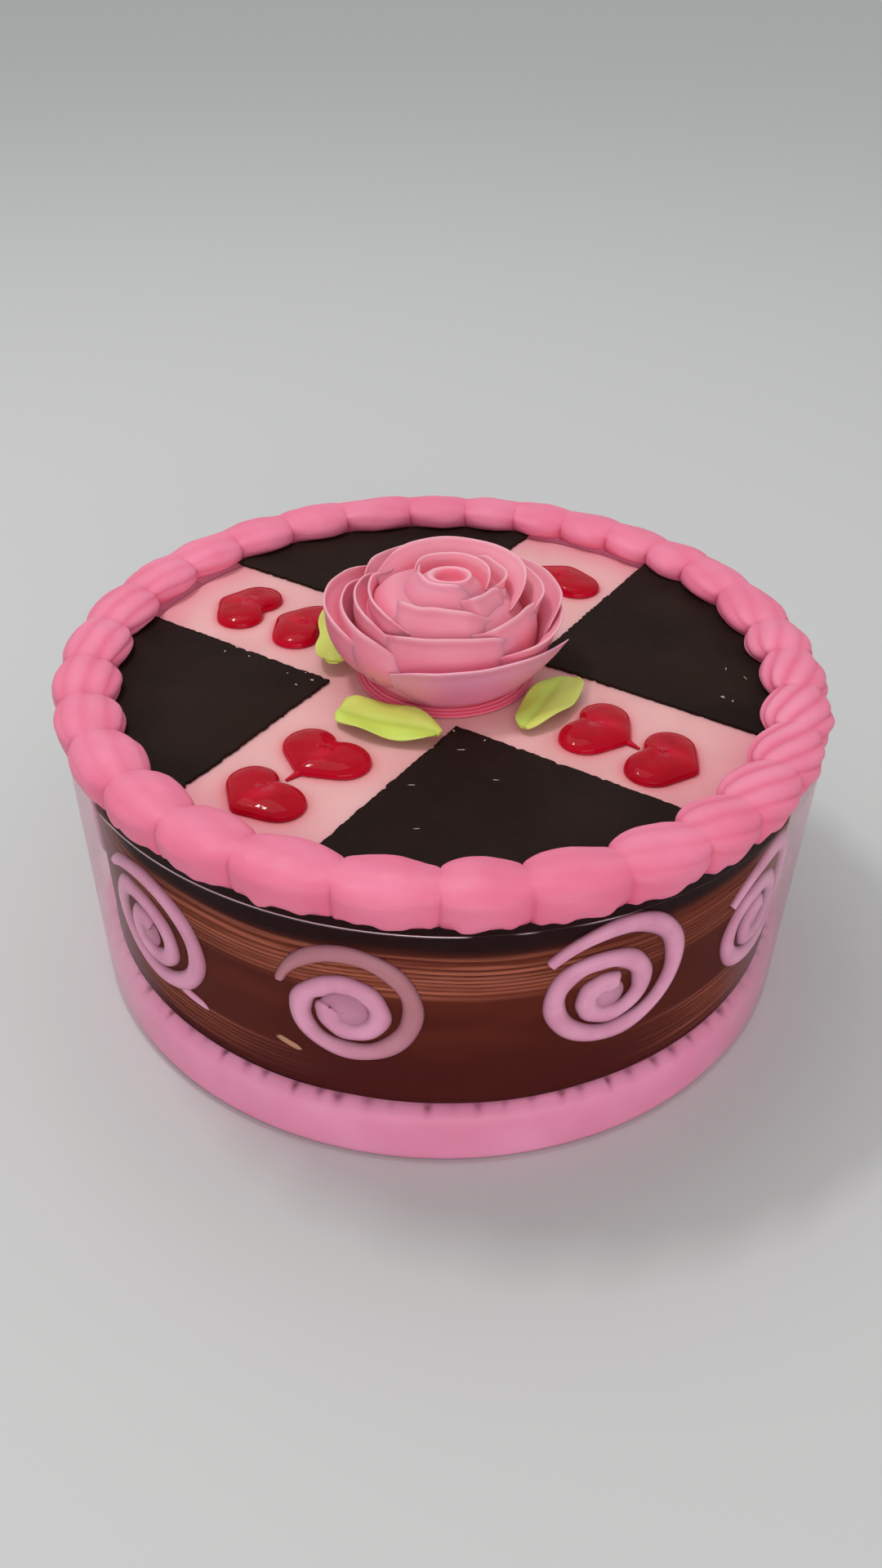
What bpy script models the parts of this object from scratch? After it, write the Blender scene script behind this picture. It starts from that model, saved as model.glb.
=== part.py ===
"""Round birthday cake: piped cream border, chocolate wedges, gel hearts, cream swirls and a cream rose.

Metres, +Z up. The origin is the centre of the flat underside, and the front of the cake faces -Y.
"""
import math
import random

import bmesh
import bpy
from mathutils import Vector

MM = 0.001

# Driving dimensions of the cake
CAKE_RADIUS = 125 * MM      # outside of the clear film at its top edge
CAKE_TOP = 101 * MM         # flat cream top that the decorations lie on
FOOT_TAPER = 2.8 * MM       # how much narrower the side is at the foot than at the top
GAP = 0.3 * MM              # clearance between pieces that touch
ROUND_STEPS = 64            # segments round the cake

# Layers on the side, each measured inwards from the outside of the film
FILM_THICKNESS = 0.4 * MM
FILM_TOP = 95.3 * MM
FILM_FOOT = 0.5 * MM
CHOCOLATE_FACE = 5.5 * MM
CHOCOLATE_THICKNESS = 2.0 * MM
CHOCOLATE_TOP = 95.6 * MM
SWIRL_THICKNESS = 1.4 * MM
SWIRL_FACE = CHOCOLATE_FACE - GAP - SWIRL_THICKNESS
BASE_BAND_TOP = 21.5 * MM
BASE_BAND_SHOULDER = 16 * MM
BASE_BAND_FACE = 0.8 * MM

# Cream cross on top and the four chocolate wedges between its arms
CROSS_X = -4.1 * MM
CROSS_Y = -0.8 * MM
CROSS_HALF_WIDTH = 24.5 * MM
CROSS_TURN = 58             # degrees, direction of one arm
WEDGE_RIM = 106.7 * MM      # distance of the wedges' round edge from the cake's axis
WEDGE_THICKNESS = 1.0 * MM
WEDGE_NICK = 0.5 * MM       # how far the cut edges wander

# Piped shell border
BORDER_RADIUS = 116.4 * MM  # centre line of the border
BORDER_HALF_WIDTH = 11.1 * MM
BORDER_LIFT = 3.6 * MM      # height of the section's centre over the cream top
BORDER_CREST = 6.1 * MM     # crest over the section's centre
BORDER_HOOK = 12.0 * MM     # drop of the outer edge below the section's centre
BORDER_TUCK = 3.9 * MM      # drop of the inner edge below the section's centre
VALLEY_SCALE = 0.74         # size of the section between two shells
SECTION_FIRST = -40         # degrees round the section, from low on the outside over the crest to the inside
SECTION_LAST = 225
SHELL_RIDGES = 9
GROOVE = 0.055              # depth of the star nozzle's grooves, as a share of the section
END_GROOVE = 0.4            # share of that depth left between two shells
SHELL_STATIONS = (0.0, 0.10, 0.28, 0.52, 0.74, 0.91)
ARCH_LEAN = 0.9             # below 1 the shell is fullest before its middle
ARCH_FULL = 0.6             # below 1 the shell swells quickly from its valley

# Where one shell of the border ends and the next begins, in degrees
VALLEYS = (-90.2, -78.8, -65.8, -53.5, -43.6, -32.1, -20.5, -8.7, 2.9, 12.8, 25.6, 37.0, 46.3, 56.2, 66.3, 76.4,
           86.4, 97.6, 110.8, 122.8, 134.8, 147.0, 159.4, 171.8, 184.1, 195.1, 206.1, 218.9, 230.6, 242.6, 256.4)

# Side swirls
SWIRL_ARM = 6.4 * MM        # width of the piped arm
SWIRL_TIP = 0.45            # width of the outer tip and of the inner blob, as shares of the arm
SWIRL_BLOB = 1.2
BLOB_START = 0.74           # share of the arm's length at which it begins to widen to the blob
SWIRL_STEPS = 28

# Rose, leaves and hearts, as heights over the cream top
MOUND_RADIUS = 29.5 * MM
MOUND_HEIGHT = 2.6 * MM
MOUND_EDGE = 2.5 * MM
ROSE_FOOT = 3.0 * MM
BUD_FLOOR = 32.0 * MM       # bottom of the bud's opening
ROSE_STEPS = 16
PETAL_THICKNESS = 1.7 * MM
PETAL_FLARE = 0.75          # below 1 a petal turns more upright towards its rim
PETAL_STEP = 26             # degrees of a petal's spread that one flat part of it covers
LEAF_THICKNESS = 1.3 * MM
LEAF_BASE = 0.25            # width of a leaf's blunt base, as a share of its full width
LEAF_EDGE_LIFT = 0.8 * MM
HEART_LOBE = 8.3 * MM       # radius of each of a heart's two round lobes
HEART_APART = 6.7 * MM      # distance of a lobe's middle from the heart's axis
HEART_TIP = 13.0 * MM       # distance of the blunt tip from the middle between the lobes
HEART_BLUNT = 0.12          # share of the straight side that the blunt tip cuts off
HEART_THICKNESS = 3.6 * MM

SEED = 11


def side_radius(height):
    """Radius of the film's outside at a height: the side leans in towards the foot."""
    return CAKE_RADIUS - FOOT_TAPER * (1 - height / FILM_TOP)


def polar(radius, degrees):
    angle = math.radians(degrees)
    return radius * math.cos(angle), radius * math.sin(angle)


def material(name, colour, roughness, metallic=0.0):
    """A plain Principled finish."""
    finish = bpy.data.materials.new(name)
    finish.use_nodes = True
    shader = finish.node_tree.nodes["Principled BSDF"]
    shader.inputs["Base Color"].default_value = (*colour, 1.0)
    shader.inputs["Roughness"].default_value = roughness
    shader.inputs["Metallic"].default_value = metallic
    return finish


def add_piece(name, data, finish, collection):
    piece = bpy.data.objects.new(name, data)
    data.materials.append(finish)
    collection.objects.link(piece)
    return piece


def turned(name, profile, finish, collection, steps=ROUND_STEPS):
    """Turn a profile of (radius, height) points round the Z axis with a Screw modifier."""
    mesh = bpy.data.meshes.new(name)
    points = [(radius, 0.0, height) for radius, height in profile]
    edges = [(i, i + 1) for i in range(len(points) - 1)]
    if profile[0][0] > 0:
        edges.append((len(points) - 1, 0))
    mesh.from_pydata(points, edges, [])
    piece = add_piece(name, mesh, finish, collection)
    screw = piece.modifiers.new("turn", "SCREW")
    screw.steps = steps
    screw.render_steps = steps
    screw.use_merge_vertices = True
    screw.merge_threshold = 0.00001
    screw.use_smooth_shade = False
    return piece


def loft(name, rings, finish, collection, closed=False):
    """Join rings of equally many points with faces; an open loft gets a flat face at each end."""
    shell = bmesh.new()
    rows = [[shell.verts.new(point) for point in ring] for ring in rings]
    count = len(rows[0])
    following = rows[1:] + ([rows[0]] if closed else [])
    for row, after in zip(rows, following):
        for i in range(count):
            j = (i + 1) % count
            shell.faces.new((row[i], row[j], after[j], after[i]))
    if not closed:
        shell.faces.new(list(reversed(rows[0])))
        shell.faces.new(rows[-1])
    bmesh.ops.recalc_face_normals(shell, faces=shell.faces)
    mesh = bpy.data.meshes.new(name)
    shell.to_mesh(mesh)
    shell.free()
    mesh.shade_smooth()
    return add_piece(name, mesh, finish, collection)


def cake_body(collection, finish):
    """Uncut sponge under its cream coat: the flat top shows as a cross, the rest is covered."""
    clearance = CHOCOLATE_FACE + CHOCOLATE_THICKNESS + GAP
    foot = side_radius(0) - clearance
    rim = side_radius(CAKE_TOP) - clearance
    edge = 1.5 * MM
    profile = [(0, CAKE_TOP), (rim - edge, CAKE_TOP), (rim, CAKE_TOP - edge), (foot, edge), (foot - edge, 0), (0, 0)]
    return turned("cake_body", profile, finish, collection)


def base_band(collection, finish):
    """Band of pink cream round the foot: a bulging face with a rounded shoulder that meets the chocolate."""
    inside = CHOCOLATE_FACE + CHOCOLATE_THICKNESS
    edge = 1.2 * MM
    middle = BASE_BAND_SHOULDER / 2
    slope = BASE_BAND_TOP - 1.4 * MM
    profile = [
        (side_radius(BASE_BAND_TOP) - inside, BASE_BAND_TOP),
        (side_radius(BASE_BAND_TOP) - CHOCOLATE_FACE + 0.5 * MM, BASE_BAND_TOP),
        (side_radius(slope) - BASE_BAND_FACE - 1.8 * MM, slope),
        (side_radius(BASE_BAND_SHOULDER) - BASE_BAND_FACE - 0.2 * MM, BASE_BAND_SHOULDER),
        (side_radius(middle) - BASE_BAND_FACE, middle),
        (side_radius(0) - BASE_BAND_FACE - edge, FILM_FOOT),
        (side_radius(0) - inside, FILM_FOOT),
    ]
    return turned("base_band", profile, finish, collection)


def side_ring(name, low, high, face, thickness, finish, collection):
    """A thin ring that follows the lean of the side between two heights."""
    profile = [
        (side_radius(high) - face, high),
        (side_radius(low) - face, low),
        (side_radius(low) - face - thickness, low),
        (side_radius(high) - face - thickness, high),
    ]
    return turned(name, profile, finish, collection)


def wedge_outline(index, draw):
    """Apex, one cut edge, the round rim and the other cut edge of one chocolate wedge."""
    middle = CROSS_TURN - 45 + 90 * index
    reach = CROSS_HALF_WIDTH * math.sqrt(2)
    offset_x, offset_y = polar(reach, middle)
    apex = Vector((CROSS_X + offset_x, CROSS_Y + offset_y))
    edges = []
    for turn in (45, -45):
        along = Vector(polar(1.0, middle + turn))
        across = Vector((-along.y, along.x))
        half = apex.dot(along)
        length = -half + math.sqrt(half * half - apex.length_squared + WEDGE_RIM ** 2)
        steps = max(3, round(length / (10 * MM)))
        edges.append([apex + along * (length * i / steps) + across * draw.uniform(-WEDGE_NICK, WEDGE_NICK)
                      for i in range(1, steps)] + [apex + along * length])
    start = math.atan2(edges[1][-1].y, edges[1][-1].x)
    sweep = (math.atan2(edges[0][-1].y, edges[0][-1].x) - start) % (2 * math.pi)
    rim_steps = max(4, round(math.degrees(sweep) / 7))
    rim = [Vector((WEDGE_RIM * math.cos(start + sweep * i / rim_steps),
                   WEDGE_RIM * math.sin(start + sweep * i / rim_steps))) for i in range(1, rim_steps)]
    return [apex] + edges[1] + rim + list(reversed(edges[0]))


def chocolate_wedge(index, collection, finish, draw):
    """Thin layer of chocolate on the cream top, with a slightly ragged cut edge."""
    name = f"chocolate_wedge_{index + 1}"
    curve = bpy.data.curves.new(name, "CURVE")
    curve.dimensions = "2D"
    curve.fill_mode = "BOTH"
    curve.extrude = WEDGE_THICKNESS / 2
    outline = wedge_outline(index, draw)
    spline = curve.splines.new("POLY")
    spline.points.add(len(outline) - 1)
    for point, place in zip(spline.points, outline):
        point.co = (place.x, place.y, 0, 1)
    spline.use_cyclic_u = True
    piece = add_piece(name, curve, finish, collection)
    piece.location.z = CAKE_TOP + GAP + WEDGE_THICKNESS / 2
    return piece


def shell_section(degrees, size, width, groove):
    """One upright section of the border: a hook over the rim, then star ridges over the top."""
    middle = BORDER_RADIUS
    centre = CAKE_TOP + BORDER_LIFT
    rim = side_radius(CAKE_TOP) - CHOCOLATE_FACE - CHOCOLATE_THICKNESS + 0.6 * MM
    first, last = math.radians(SECTION_FIRST), math.radians(SECTION_LAST)
    points = []
    for i in range(SHELL_RIDGES + 1):
        turn = first + (last - first) * i / SHELL_RIDGES
        swell = 1 + (groove if i % 2 else -groove) * (END_GROOVE if i in (0, SHELL_RIDGES) else 1)
        side = math.cos(turn) * BORDER_HALF_WIDTH * width * swell
        if math.sin(turn) >= 0:
            rise = math.sin(turn) * BORDER_CREST * size * swell
        else:
            drop = BORDER_HOOK if math.cos(turn) > 0 else BORDER_TUCK
            rise = math.sin(turn) * drop
        points.append((middle + side, max(centre + rise, CHOCOLATE_TOP + 0.6 * MM if side > 0 else CAKE_TOP + GAP)))
    under_edge = points[0][0] - 1.5 * MM
    points += [(rim - 10 * MM, CAKE_TOP + GAP), (rim, CAKE_TOP + GAP), (rim, CHOCOLATE_TOP + GAP),
               (under_edge, CHOCOLATE_TOP + GAP)]
    x, y = polar(1.0, degrees)
    return [(radius * x, radius * y, height) for radius, height in points]


def shell_border(collection, finish):
    """Shells piped end to end along the rim with a star nozzle: they narrow to a valley at each end."""
    draw = random.Random(SEED)
    rings = []
    for valley, following in zip(VALLEYS, VALLEYS[1:] + (VALLEYS[0] + 360,)):
        tall = draw.uniform(0.94, 1.05)
        broad = draw.uniform(0.96, 1.0)
        for share in SHELL_STATIONS:
            arch = math.sin(math.pi * share ** ARCH_LEAN) ** ARCH_FULL if share > 0 else 0.0
            size = VALLEY_SCALE + (tall - VALLEY_SCALE) * arch
            width = VALLEY_SCALE + (broad - VALLEY_SCALE) * arch
            degrees = valley + (following - valley) * share
            rings.append(shell_section(degrees, size, width, GROOVE * (END_GROOVE + (1 - END_GROOVE) * arch)))
    return loft("shell_border", rings, finish, collection, closed=True)


# Spirals of the swirls, wound inwards clockwise from an outer tip at the upper left. Each stop: turns made,
# reach from the middle, and how far the middle has drifted to the right and upwards, in mm
TIGHT_SPIRAL = (
    (0.00, 24.5, 0.0, 0.0), (0.10, 21.5, 0.0, 0.0), (0.75, 20.8, 0.0, 0.0), (1.13, 14.2, -3.0, -4.5),
    (1.45, 12.3, -3.0, -4.4), (1.65, 8.4, -3.0, -4.4), (1.85, 6.2, -3.0, -4.4), (2.05, 5.1, -3.0, -4.6),
    (2.28, 4.6, -3.0, -4.8),
)
LOOSE_SPIRAL = (
    (0.00, 20.4, 0.0, 0.0), (0.10, 19.2, 0.0, 0.0), (0.63, 20.2, 0.0, 0.0), (0.81, 18.3, 0.0, 0.0),
    (0.95, 13.5, -0.3, -1.5), (1.09, 10.5, -0.5, -3.2), (1.48, 10.8, -0.5, -3.2), (1.67, 8.2, -0.5, -3.2),
    (1.89, 5.0, -0.5, -3.2), (2.03, 4.0, -0.5, -3.2),
)
TIGHT_TIP = 150             # degrees, direction of the outer tip from the middle
LOOSE_TIP = 168

# Each swirl: its middle in degrees, height of the middle in mm, share of full width and of full height
SWIRLS = (
    (-103.0, 61.0, 1.00, 1.00), (-65.0, 64.5, 1.00, 1.00), (-33.0, 58.5, 1.00, 0.92), (3.5, 60.5, 0.97, 0.98),
    (39.5, 62.0, 1.02, 0.96), (75.5, 60.0, 0.98, 1.00), (112.0, 62.5, 1.00, 0.95), (148.0, 60.0, 0.96, 0.97),
    (185.0, 59.0, 1.00, 0.93), (222.0, 57.0, 1.04, 0.9),
)


def spiral_place(stops, tip, turns):
    """Centre of the piped arm after so many turns, to the right of the swirl's middle and above it."""
    for (before, *low), (after, *high) in zip(stops, stops[1:]):
        if turns <= after:
            break
    share = (turns - before) / (after - before)
    reach, right, up = (a + (b - a) * share for a, b in zip(low, high))
    x, y = polar(reach, tip - 360 * turns)
    return Vector((x + right, y + up))


def side_swirl(index, collection, finish):
    """A flat spiral of cream on the chocolate; the first one was piped looser than the others."""
    middle, height, wide, high = SWIRLS[index]
    stops, tip = (LOOSE_SPIRAL, LOOSE_TIP) if index == 0 else (TIGHT_SPIRAL, TIGHT_TIP)
    centres = []
    for i in range(SWIRL_STEPS + 1):
        place = spiral_place(stops, tip, stops[-1][0] * i / SWIRL_STEPS)
        centres.append(Vector((place.x * wide, place.y * high)) * MM)
    rings = []
    for i, centre in enumerate(centres):
        along = (centres[min(i + 1, SWIRL_STEPS)] - centres[max(i - 1, 0)]).normalized()
        across = Vector((-along.y, along.x))
        share = i / SWIRL_STEPS
        blob = (SWIRL_BLOB - 1) * max(0.0, share - BLOB_START) / (1 - BLOB_START)
        arm = SWIRL_ARM * min(1.0 + blob, SWIRL_TIP + 6 * share) / 2
        ring = []
        for side, lift in ((-1, 0.0), (0, SWIRL_THICKNESS), (1, 0.0)):
            place = centre + across * (arm * side)
            level = height * MM + place.y
            radius = side_radius(level) - SWIRL_FACE - SWIRL_THICKNESS + lift
            ring.append((*polar(radius, middle + math.degrees(place.x / radius)), level))
        rings.append(ring)
    return loft(f"side_swirl_{index + 1:02d}", rings, finish, collection)


def heart_outline(steps):
    """A heart with its tip towards +X: two round lobes, each of so many points, and straight sides to the tip."""
    reach = math.hypot(HEART_TIP, HEART_APART)
    lean = math.acos(HEART_LOBE / reach) - math.atan2(HEART_APART, HEART_TIP)
    notch = math.pi + math.asin(HEART_APART / HEART_LOBE)
    lobe = []
    for i in range(steps):
        turn = lean + (notch - lean) * i / (steps - 1)
        lobe.append((HEART_LOBE * math.cos(turn), HEART_APART + HEART_LOBE * math.sin(turn)))
    blunt = (HEART_TIP + (lobe[0][0] - HEART_TIP) * HEART_BLUNT, lobe[0][1] * HEART_BLUNT)
    half = [blunt] + lobe
    return half + [(along, -across) for along, across in reversed(half[:-1])]


def gel_heart(name, place, degrees, scale, collection, finish):
    """A drop of red gel in the shape of a heart, lying on the cream with a domed top."""
    rings = []
    for share, level in ((1.0, 0.0), (0.93, 0.62), (0.6, 1.0)):
        size = share * scale
        rings.append([(along * size, across * size, level * HEART_THICKNESS) for along, across in heart_outline(7)])
    piece = loft(name, rings, finish, collection)
    piece.location = (place[0] * MM, place[1] * MM, CAKE_TOP + GAP)
    piece.rotation_euler.z = math.radians(degrees)
    return piece


def leaf(name, base, tip, half_width, lifts, wave, collection, finish):
    """A thin piped leaf from its base to its tip, folded along the middle and wavy at its edges."""
    start = Vector((base[0] * MM, base[1] * MM))
    along = Vector((tip[0] * MM, tip[1] * MM)) - start
    across = Vector((-along.y, along.x)).normalized()
    steps, half_steps = 7, 2
    sheet = bmesh.new()
    rows = []
    for i in range(steps + 1):
        share = i / steps
        full = math.sin(math.pi * min(1.0, 0.12 + 0.88 * share)) ** 0.7
        width = half_width * MM * (LEAF_BASE + (1 - LEAF_BASE) * full)
        row = []
        for j in range(-half_steps, half_steps + 1):
            side = j / half_steps
            place = start + along * share + across * (side * width)
            lift = lifts[0] + (lifts[1] - lifts[0]) * share + wave * side * side * math.sin(9 * share + 1.6 * side)
            row.append(sheet.verts.new((place.x, place.y, CAKE_TOP + lift * MM + LEAF_EDGE_LIFT * abs(side))))
        rows.append(row)
    for row, after in zip(rows, rows[1:]):
        for j in range(2 * half_steps):
            sheet.faces.new((row[j], after[j], after[j + 1]))
            sheet.faces.new((row[j], after[j + 1], row[j + 1]))
    bmesh.ops.recalc_face_normals(sheet, faces=sheet.faces)
    mesh = bpy.data.meshes.new(name)
    sheet.to_mesh(mesh)
    sheet.free()
    mesh.shade_smooth()
    piece = add_piece(name, mesh, finish, collection)
    body = piece.modifiers.new("thickness", "SOLIDIFY")
    body.thickness = LEAF_THICKNESS
    body.offset = 0
    return piece


# Each petal: middle and half spread in degrees, rim radius at the middle and at its two ends,
# rim height at the middle and at its two ends, then radius and height of its foot, all in mm.
# Petals at the front and the innermost ones widen towards the foot, the others flare like a bowl
PETALS = (
    (-125, 92, 6.6, 12.0, 7.2, 36.2, 36.8, 35.2, 17.0, 26),
    (75, 88, 14.3, 14.0, 12.0, 36.2, 34.2, 35.2, 11.0, 26),
    (28, 42, 19.0, 14.8, 22.0, 34.8, 34.0, 34.8, 15.0, 22),
    (-35, 36, 14.0, 13.0, 20.5, 34.2, 33.8, 33.0, 20.0, 22),
    (-102, 58, 16.7, 20.2, 22.0, 32.8, 32.2, 30.4, 26.0, 18),
    (-170, 50, 24.0, 26.0, 25.6, 31.2, 33.0, 27.9, 23.0, 18),
    (70, 90, 26.5, 24.5, 28.0, 36.0, 30.3, 33.0, 17.0, 20),
    (-30, 40, 25.5, 25.0, 34.0, 29.3, 28.0, 26.6, 29.0, 13),
    (-88, 54, 26.0, 29.3, 30.5, 27.3, 26.2, 25.2, 29.5, 12),
    (-176, 46, 28.6, 27.5, 29.5, 29.4, 32.2, 25.6, 24.0, 15),
    (22, 40, 30.5, 30.0, 31.0, 30.5, 28.0, 33.0, 24.0, 15),
    (-168, 50, 33.0, 33.0, 33.0, 26.8, 30.5, 22.0, 27.5, 6),
    (110, 52, 32.0, 31.5, 32.0, 31.5, 31.0, 31.0, 24.0, 14),
    (-15, 42, 36.5, 31.5, 38.0, 24.0, 22.6, 26.5, 28.0, 8),
    (-70, 52, 34.2, 36.5, 40.5, 20.7, 19.0, 20.5, 26.5, 4),
    (178, 48, 38.5, 35.0, 36.0, 27.5, 30.3, 19.5, 26.0, 5),
    (30, 46, 36.8, 37.0, 34.5, 28.5, 25.0, 30.0, 26.0, 5),
    (92, 50, 36.5, 35.5, 36.5, 27.5, 28.5, 28.5, 26.0, 5),
)

# Cone of cream under the petals, with the bud's rim: radius and height in mm
ROSE_CONE = ((4.0, 32.0), (4.9, 35.6), (6.4, 35.8), (8.8, 33.3), (12.5, 29.6), (17.0, 27.2), (20.5, 25.2),
             (23.5, 22.0), (28.0, 16.0), (29.2, 10.0), (27.5, 3.0))


def petal_point(petal, across, up):
    """A point of a petal's sheet: across runs from -1 to 1 along the rim, up from 0 at the foot to 1."""
    middle, spread, rim, rim_first, rim_last, high, high_first, high_last, foot, foot_high = petal
    ends = across * across
    end_rim = rim_first + (rim_last - rim_first) * (across + 1) / 2
    end_high = high_first + (high_last - high_first) * (across + 1) / 2
    rim_here = rim + (end_rim - rim) * ends
    high_here = high + (end_high - high) * ends
    radius = foot + (rim_here - foot) * up ** PETAL_FLARE
    height = foot_high + (high_here - foot_high) * up
    x, y = polar(radius * MM, middle + spread * across)
    return Vector((x, y, CAKE_TOP + height * MM))


def petal_sheet(name, petal, collection, finish):
    """A petal as a curved sheet with its thickness."""
    steps, rise = max(3, round(2 * petal[1] / PETAL_STEP)), (0.0, 0.5, 1.0)
    sheet = bmesh.new()
    rows = [[sheet.verts.new(petal_point(petal, -1 + 2 * i / steps, up)) for up in rise] for i in range(steps + 1)]
    for row, after in zip(rows, rows[1:]):
        for j in range(len(rise) - 1):
            sheet.faces.new((row[j], after[j], after[j + 1], row[j + 1]))
    mesh = bpy.data.meshes.new(name)
    sheet.to_mesh(mesh)
    sheet.free()
    piece = add_piece(name, mesh, finish, collection)
    body = piece.modifiers.new("thickness", "SOLIDIFY")
    body.thickness = PETAL_THICKNESS
    body.offset = 0
    return piece


def keep_largest_body(mesh):
    """Drop the loose scraps and sealed bubbles that joining the petals can leave."""
    shell = bmesh.new()
    shell.from_mesh(mesh)
    remaining = set(shell.verts)
    bodies = []
    while remaining:
        found = {remaining.pop()}
        frontier = list(found)
        while frontier:
            vert = frontier.pop()
            for edge in vert.link_edges:
                other = edge.other_vert(vert)
                if other in remaining:
                    remaining.discard(other)
                    found.add(other)
                    frontier.append(other)
        bodies.append(found)
    bodies.sort(key=len)
    for scrap in bodies[:-1]:
        bmesh.ops.delete(shell, geom=list(scrap), context="VERTS")
    shell.to_mesh(mesh)
    shell.free()


def rose(collection, finish):
    """The rose: overlapping petals piped round a cone of cream with an open bud, joined into one solid."""
    petals = bpy.data.collections.new("rose_petals")
    bpy.context.scene.collection.children.link(petals)
    for i, petal in enumerate(PETALS):
        petal_sheet(f"petal_{i + 1:02d}", petal, petals, finish)
    points = [(0, CAKE_TOP + BUD_FLOOR)]
    points += [(radius * MM, CAKE_TOP + height * MM) for radius, height in ROSE_CONE]
    points.append((0, CAKE_TOP + ROSE_FOOT))
    piece = turned("rose", points, finish, collection, steps=ROSE_STEPS)
    join = piece.modifiers.new("petals", "BOOLEAN")
    join.operation = "UNION"
    join.operand_type = "COLLECTION"
    join.collection = petals
    join.solver = "EXACT"
    bpy.context.view_layer.update()
    evaluated = piece.evaluated_get(bpy.context.evaluated_depsgraph_get())
    mesh = bpy.data.meshes.new_from_object(evaluated)
    piece.modifiers.clear()
    piece.data = mesh
    keep_largest_body(mesh)
    for petal in list(petals.objects):
        bpy.data.objects.remove(petal)
    bpy.data.collections.remove(petals)
    return piece


def rose_mound(collection, finish):
    """Low pad of deeper pink cream that the rose stands on."""
    floor = CAKE_TOP + GAP
    top = CAKE_TOP + MOUND_HEIGHT
    profile = [(0, top), (MOUND_RADIUS - MOUND_EDGE, top), (MOUND_RADIUS, floor + 0.8 * MM),
               (MOUND_RADIUS - 0.6 * MM, floor), (0, floor)]
    return turned("rose_mound", profile, finish, collection, steps=36)


# Each heart: name, middle between its lobes in mm, direction of its tip in degrees and its scale
HEARTS = (
    ("heart_front_left_inner", (-35.5, -51.0), -127, 1.03),
    ("heart_front_left_outer", (-51.5, -71.9), -138, 0.98),
    ("heart_front_right_inner", (47.0, -34.5), -33, 0.99),
    ("heart_front_right_outer", (65.7, -50.6), -32, 1.0),
    ("heart_back_left_outer", (-70.0, 39.8), 155, 1.0),
    ("heart_back_left_inner", (-48.5, 26.5), 150, 1.0),
    ("heart_back_right_outer", (41.5, 63.5), 68, 1.04),
    ("heart_back_right_inner", (25.0, 43.0), 62, 0.92),
)

# Each leaf: name, base and tip in mm, half width in mm, lift of base and tip in mm, wave in mm
LEAVES = (
    ("leaf_front_left", (-33, -28), (-1.5, -43), 9.5, (2.6, 3.2), 1.0),
    ("leaf_front_right", (41.5, -8), (24, -37), 7.5, (2.8, 2.6), 0.9),
    ("leaf_back_left", (-37.5, -4), (-37.5, 37), 6.8, (5.0, 6.2), 0.8),
    ("leaf_back_right", (35, 26), (10, 40), 7.0, (5.6, 5.8), 0.8),
)


def main():
    for item in list(bpy.data.objects):
        bpy.data.objects.remove(item)
    cake = bpy.data.collections.new("birthday_cake")
    bpy.context.scene.collection.children.link(cake)

    cream = material("pink_cream", (0.76, 0.36, 0.36), 0.6)
    border_cream = material("border_cream", (0.84, 0.24, 0.35), 0.55)
    base_cream = material("base_cream", (0.68, 0.24, 0.37), 0.55)
    chocolate = material("side_chocolate", (0.10, 0.030, 0.016), 0.35)
    dark_chocolate = material("dark_chocolate", (0.022, 0.013, 0.010), 0.45)
    lilac_cream = material("lilac_cream", (0.60, 0.27, 0.38), 0.5)
    rose_cream = material("rose_cream", (0.85, 0.30, 0.38), 0.5)
    mound_cream = material("mound_cream", (0.80, 0.17, 0.24), 0.5)
    leaf_cream = material("leaf_cream", (0.48, 0.64, 0.08), 0.5)
    gel = material("red_gel", (0.38, 0.0, 0.012), 0.12)
    film = material("clear_film", (0.9, 0.9, 0.9), 0.1)

    cake_body(cake, cream)
    base_band(cake, base_cream)
    side_ring("chocolate_band", BASE_BAND_TOP + GAP, CHOCOLATE_TOP, CHOCOLATE_FACE, CHOCOLATE_THICKNESS,
              chocolate, cake)
    side_ring("clear_film", FILM_FOOT, FILM_TOP, 0.0, FILM_THICKNESS, film, cake)
    shell_border(cake, border_cream)

    draw = random.Random(SEED + 1)
    for index in range(4):
        chocolate_wedge(index, cake, dark_chocolate, draw)
    for index in range(len(SWIRLS)):
        side_swirl(index, cake, lilac_cream)

    rose_mound(cake, mound_cream)
    rose(cake, rose_cream)
    for name, place, degrees, scale in HEARTS:
        gel_heart(name, place, degrees, scale, cake, gel)
    for name, base, tip, half_width, lifts, wave in LEAVES:
        leaf(name, base, tip, half_width, lifts, wave, cake, leaf_cream)


main()
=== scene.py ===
# %% [markdown]
# # A birthday cake with a cream rose
# The cake is a tall round one. Its flat cream top is split by a cream cross into four chocolate wedges,
# hearts of red gel lie on the cross, a big rose stands in the middle, and shells are piped round the rim.
# The side is chocolate with cream swirls behind a clear film, over a pink band at the foot.
#
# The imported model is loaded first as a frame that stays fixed. Every piece below is built in metres, right
# where the frame's solid is, and then stands for that solid with the finer shape of the real thing.

# %% Load the frame
import math
import random

import bpy
import numpy as np
from mathutils import Matrix, Vector, noise


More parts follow.
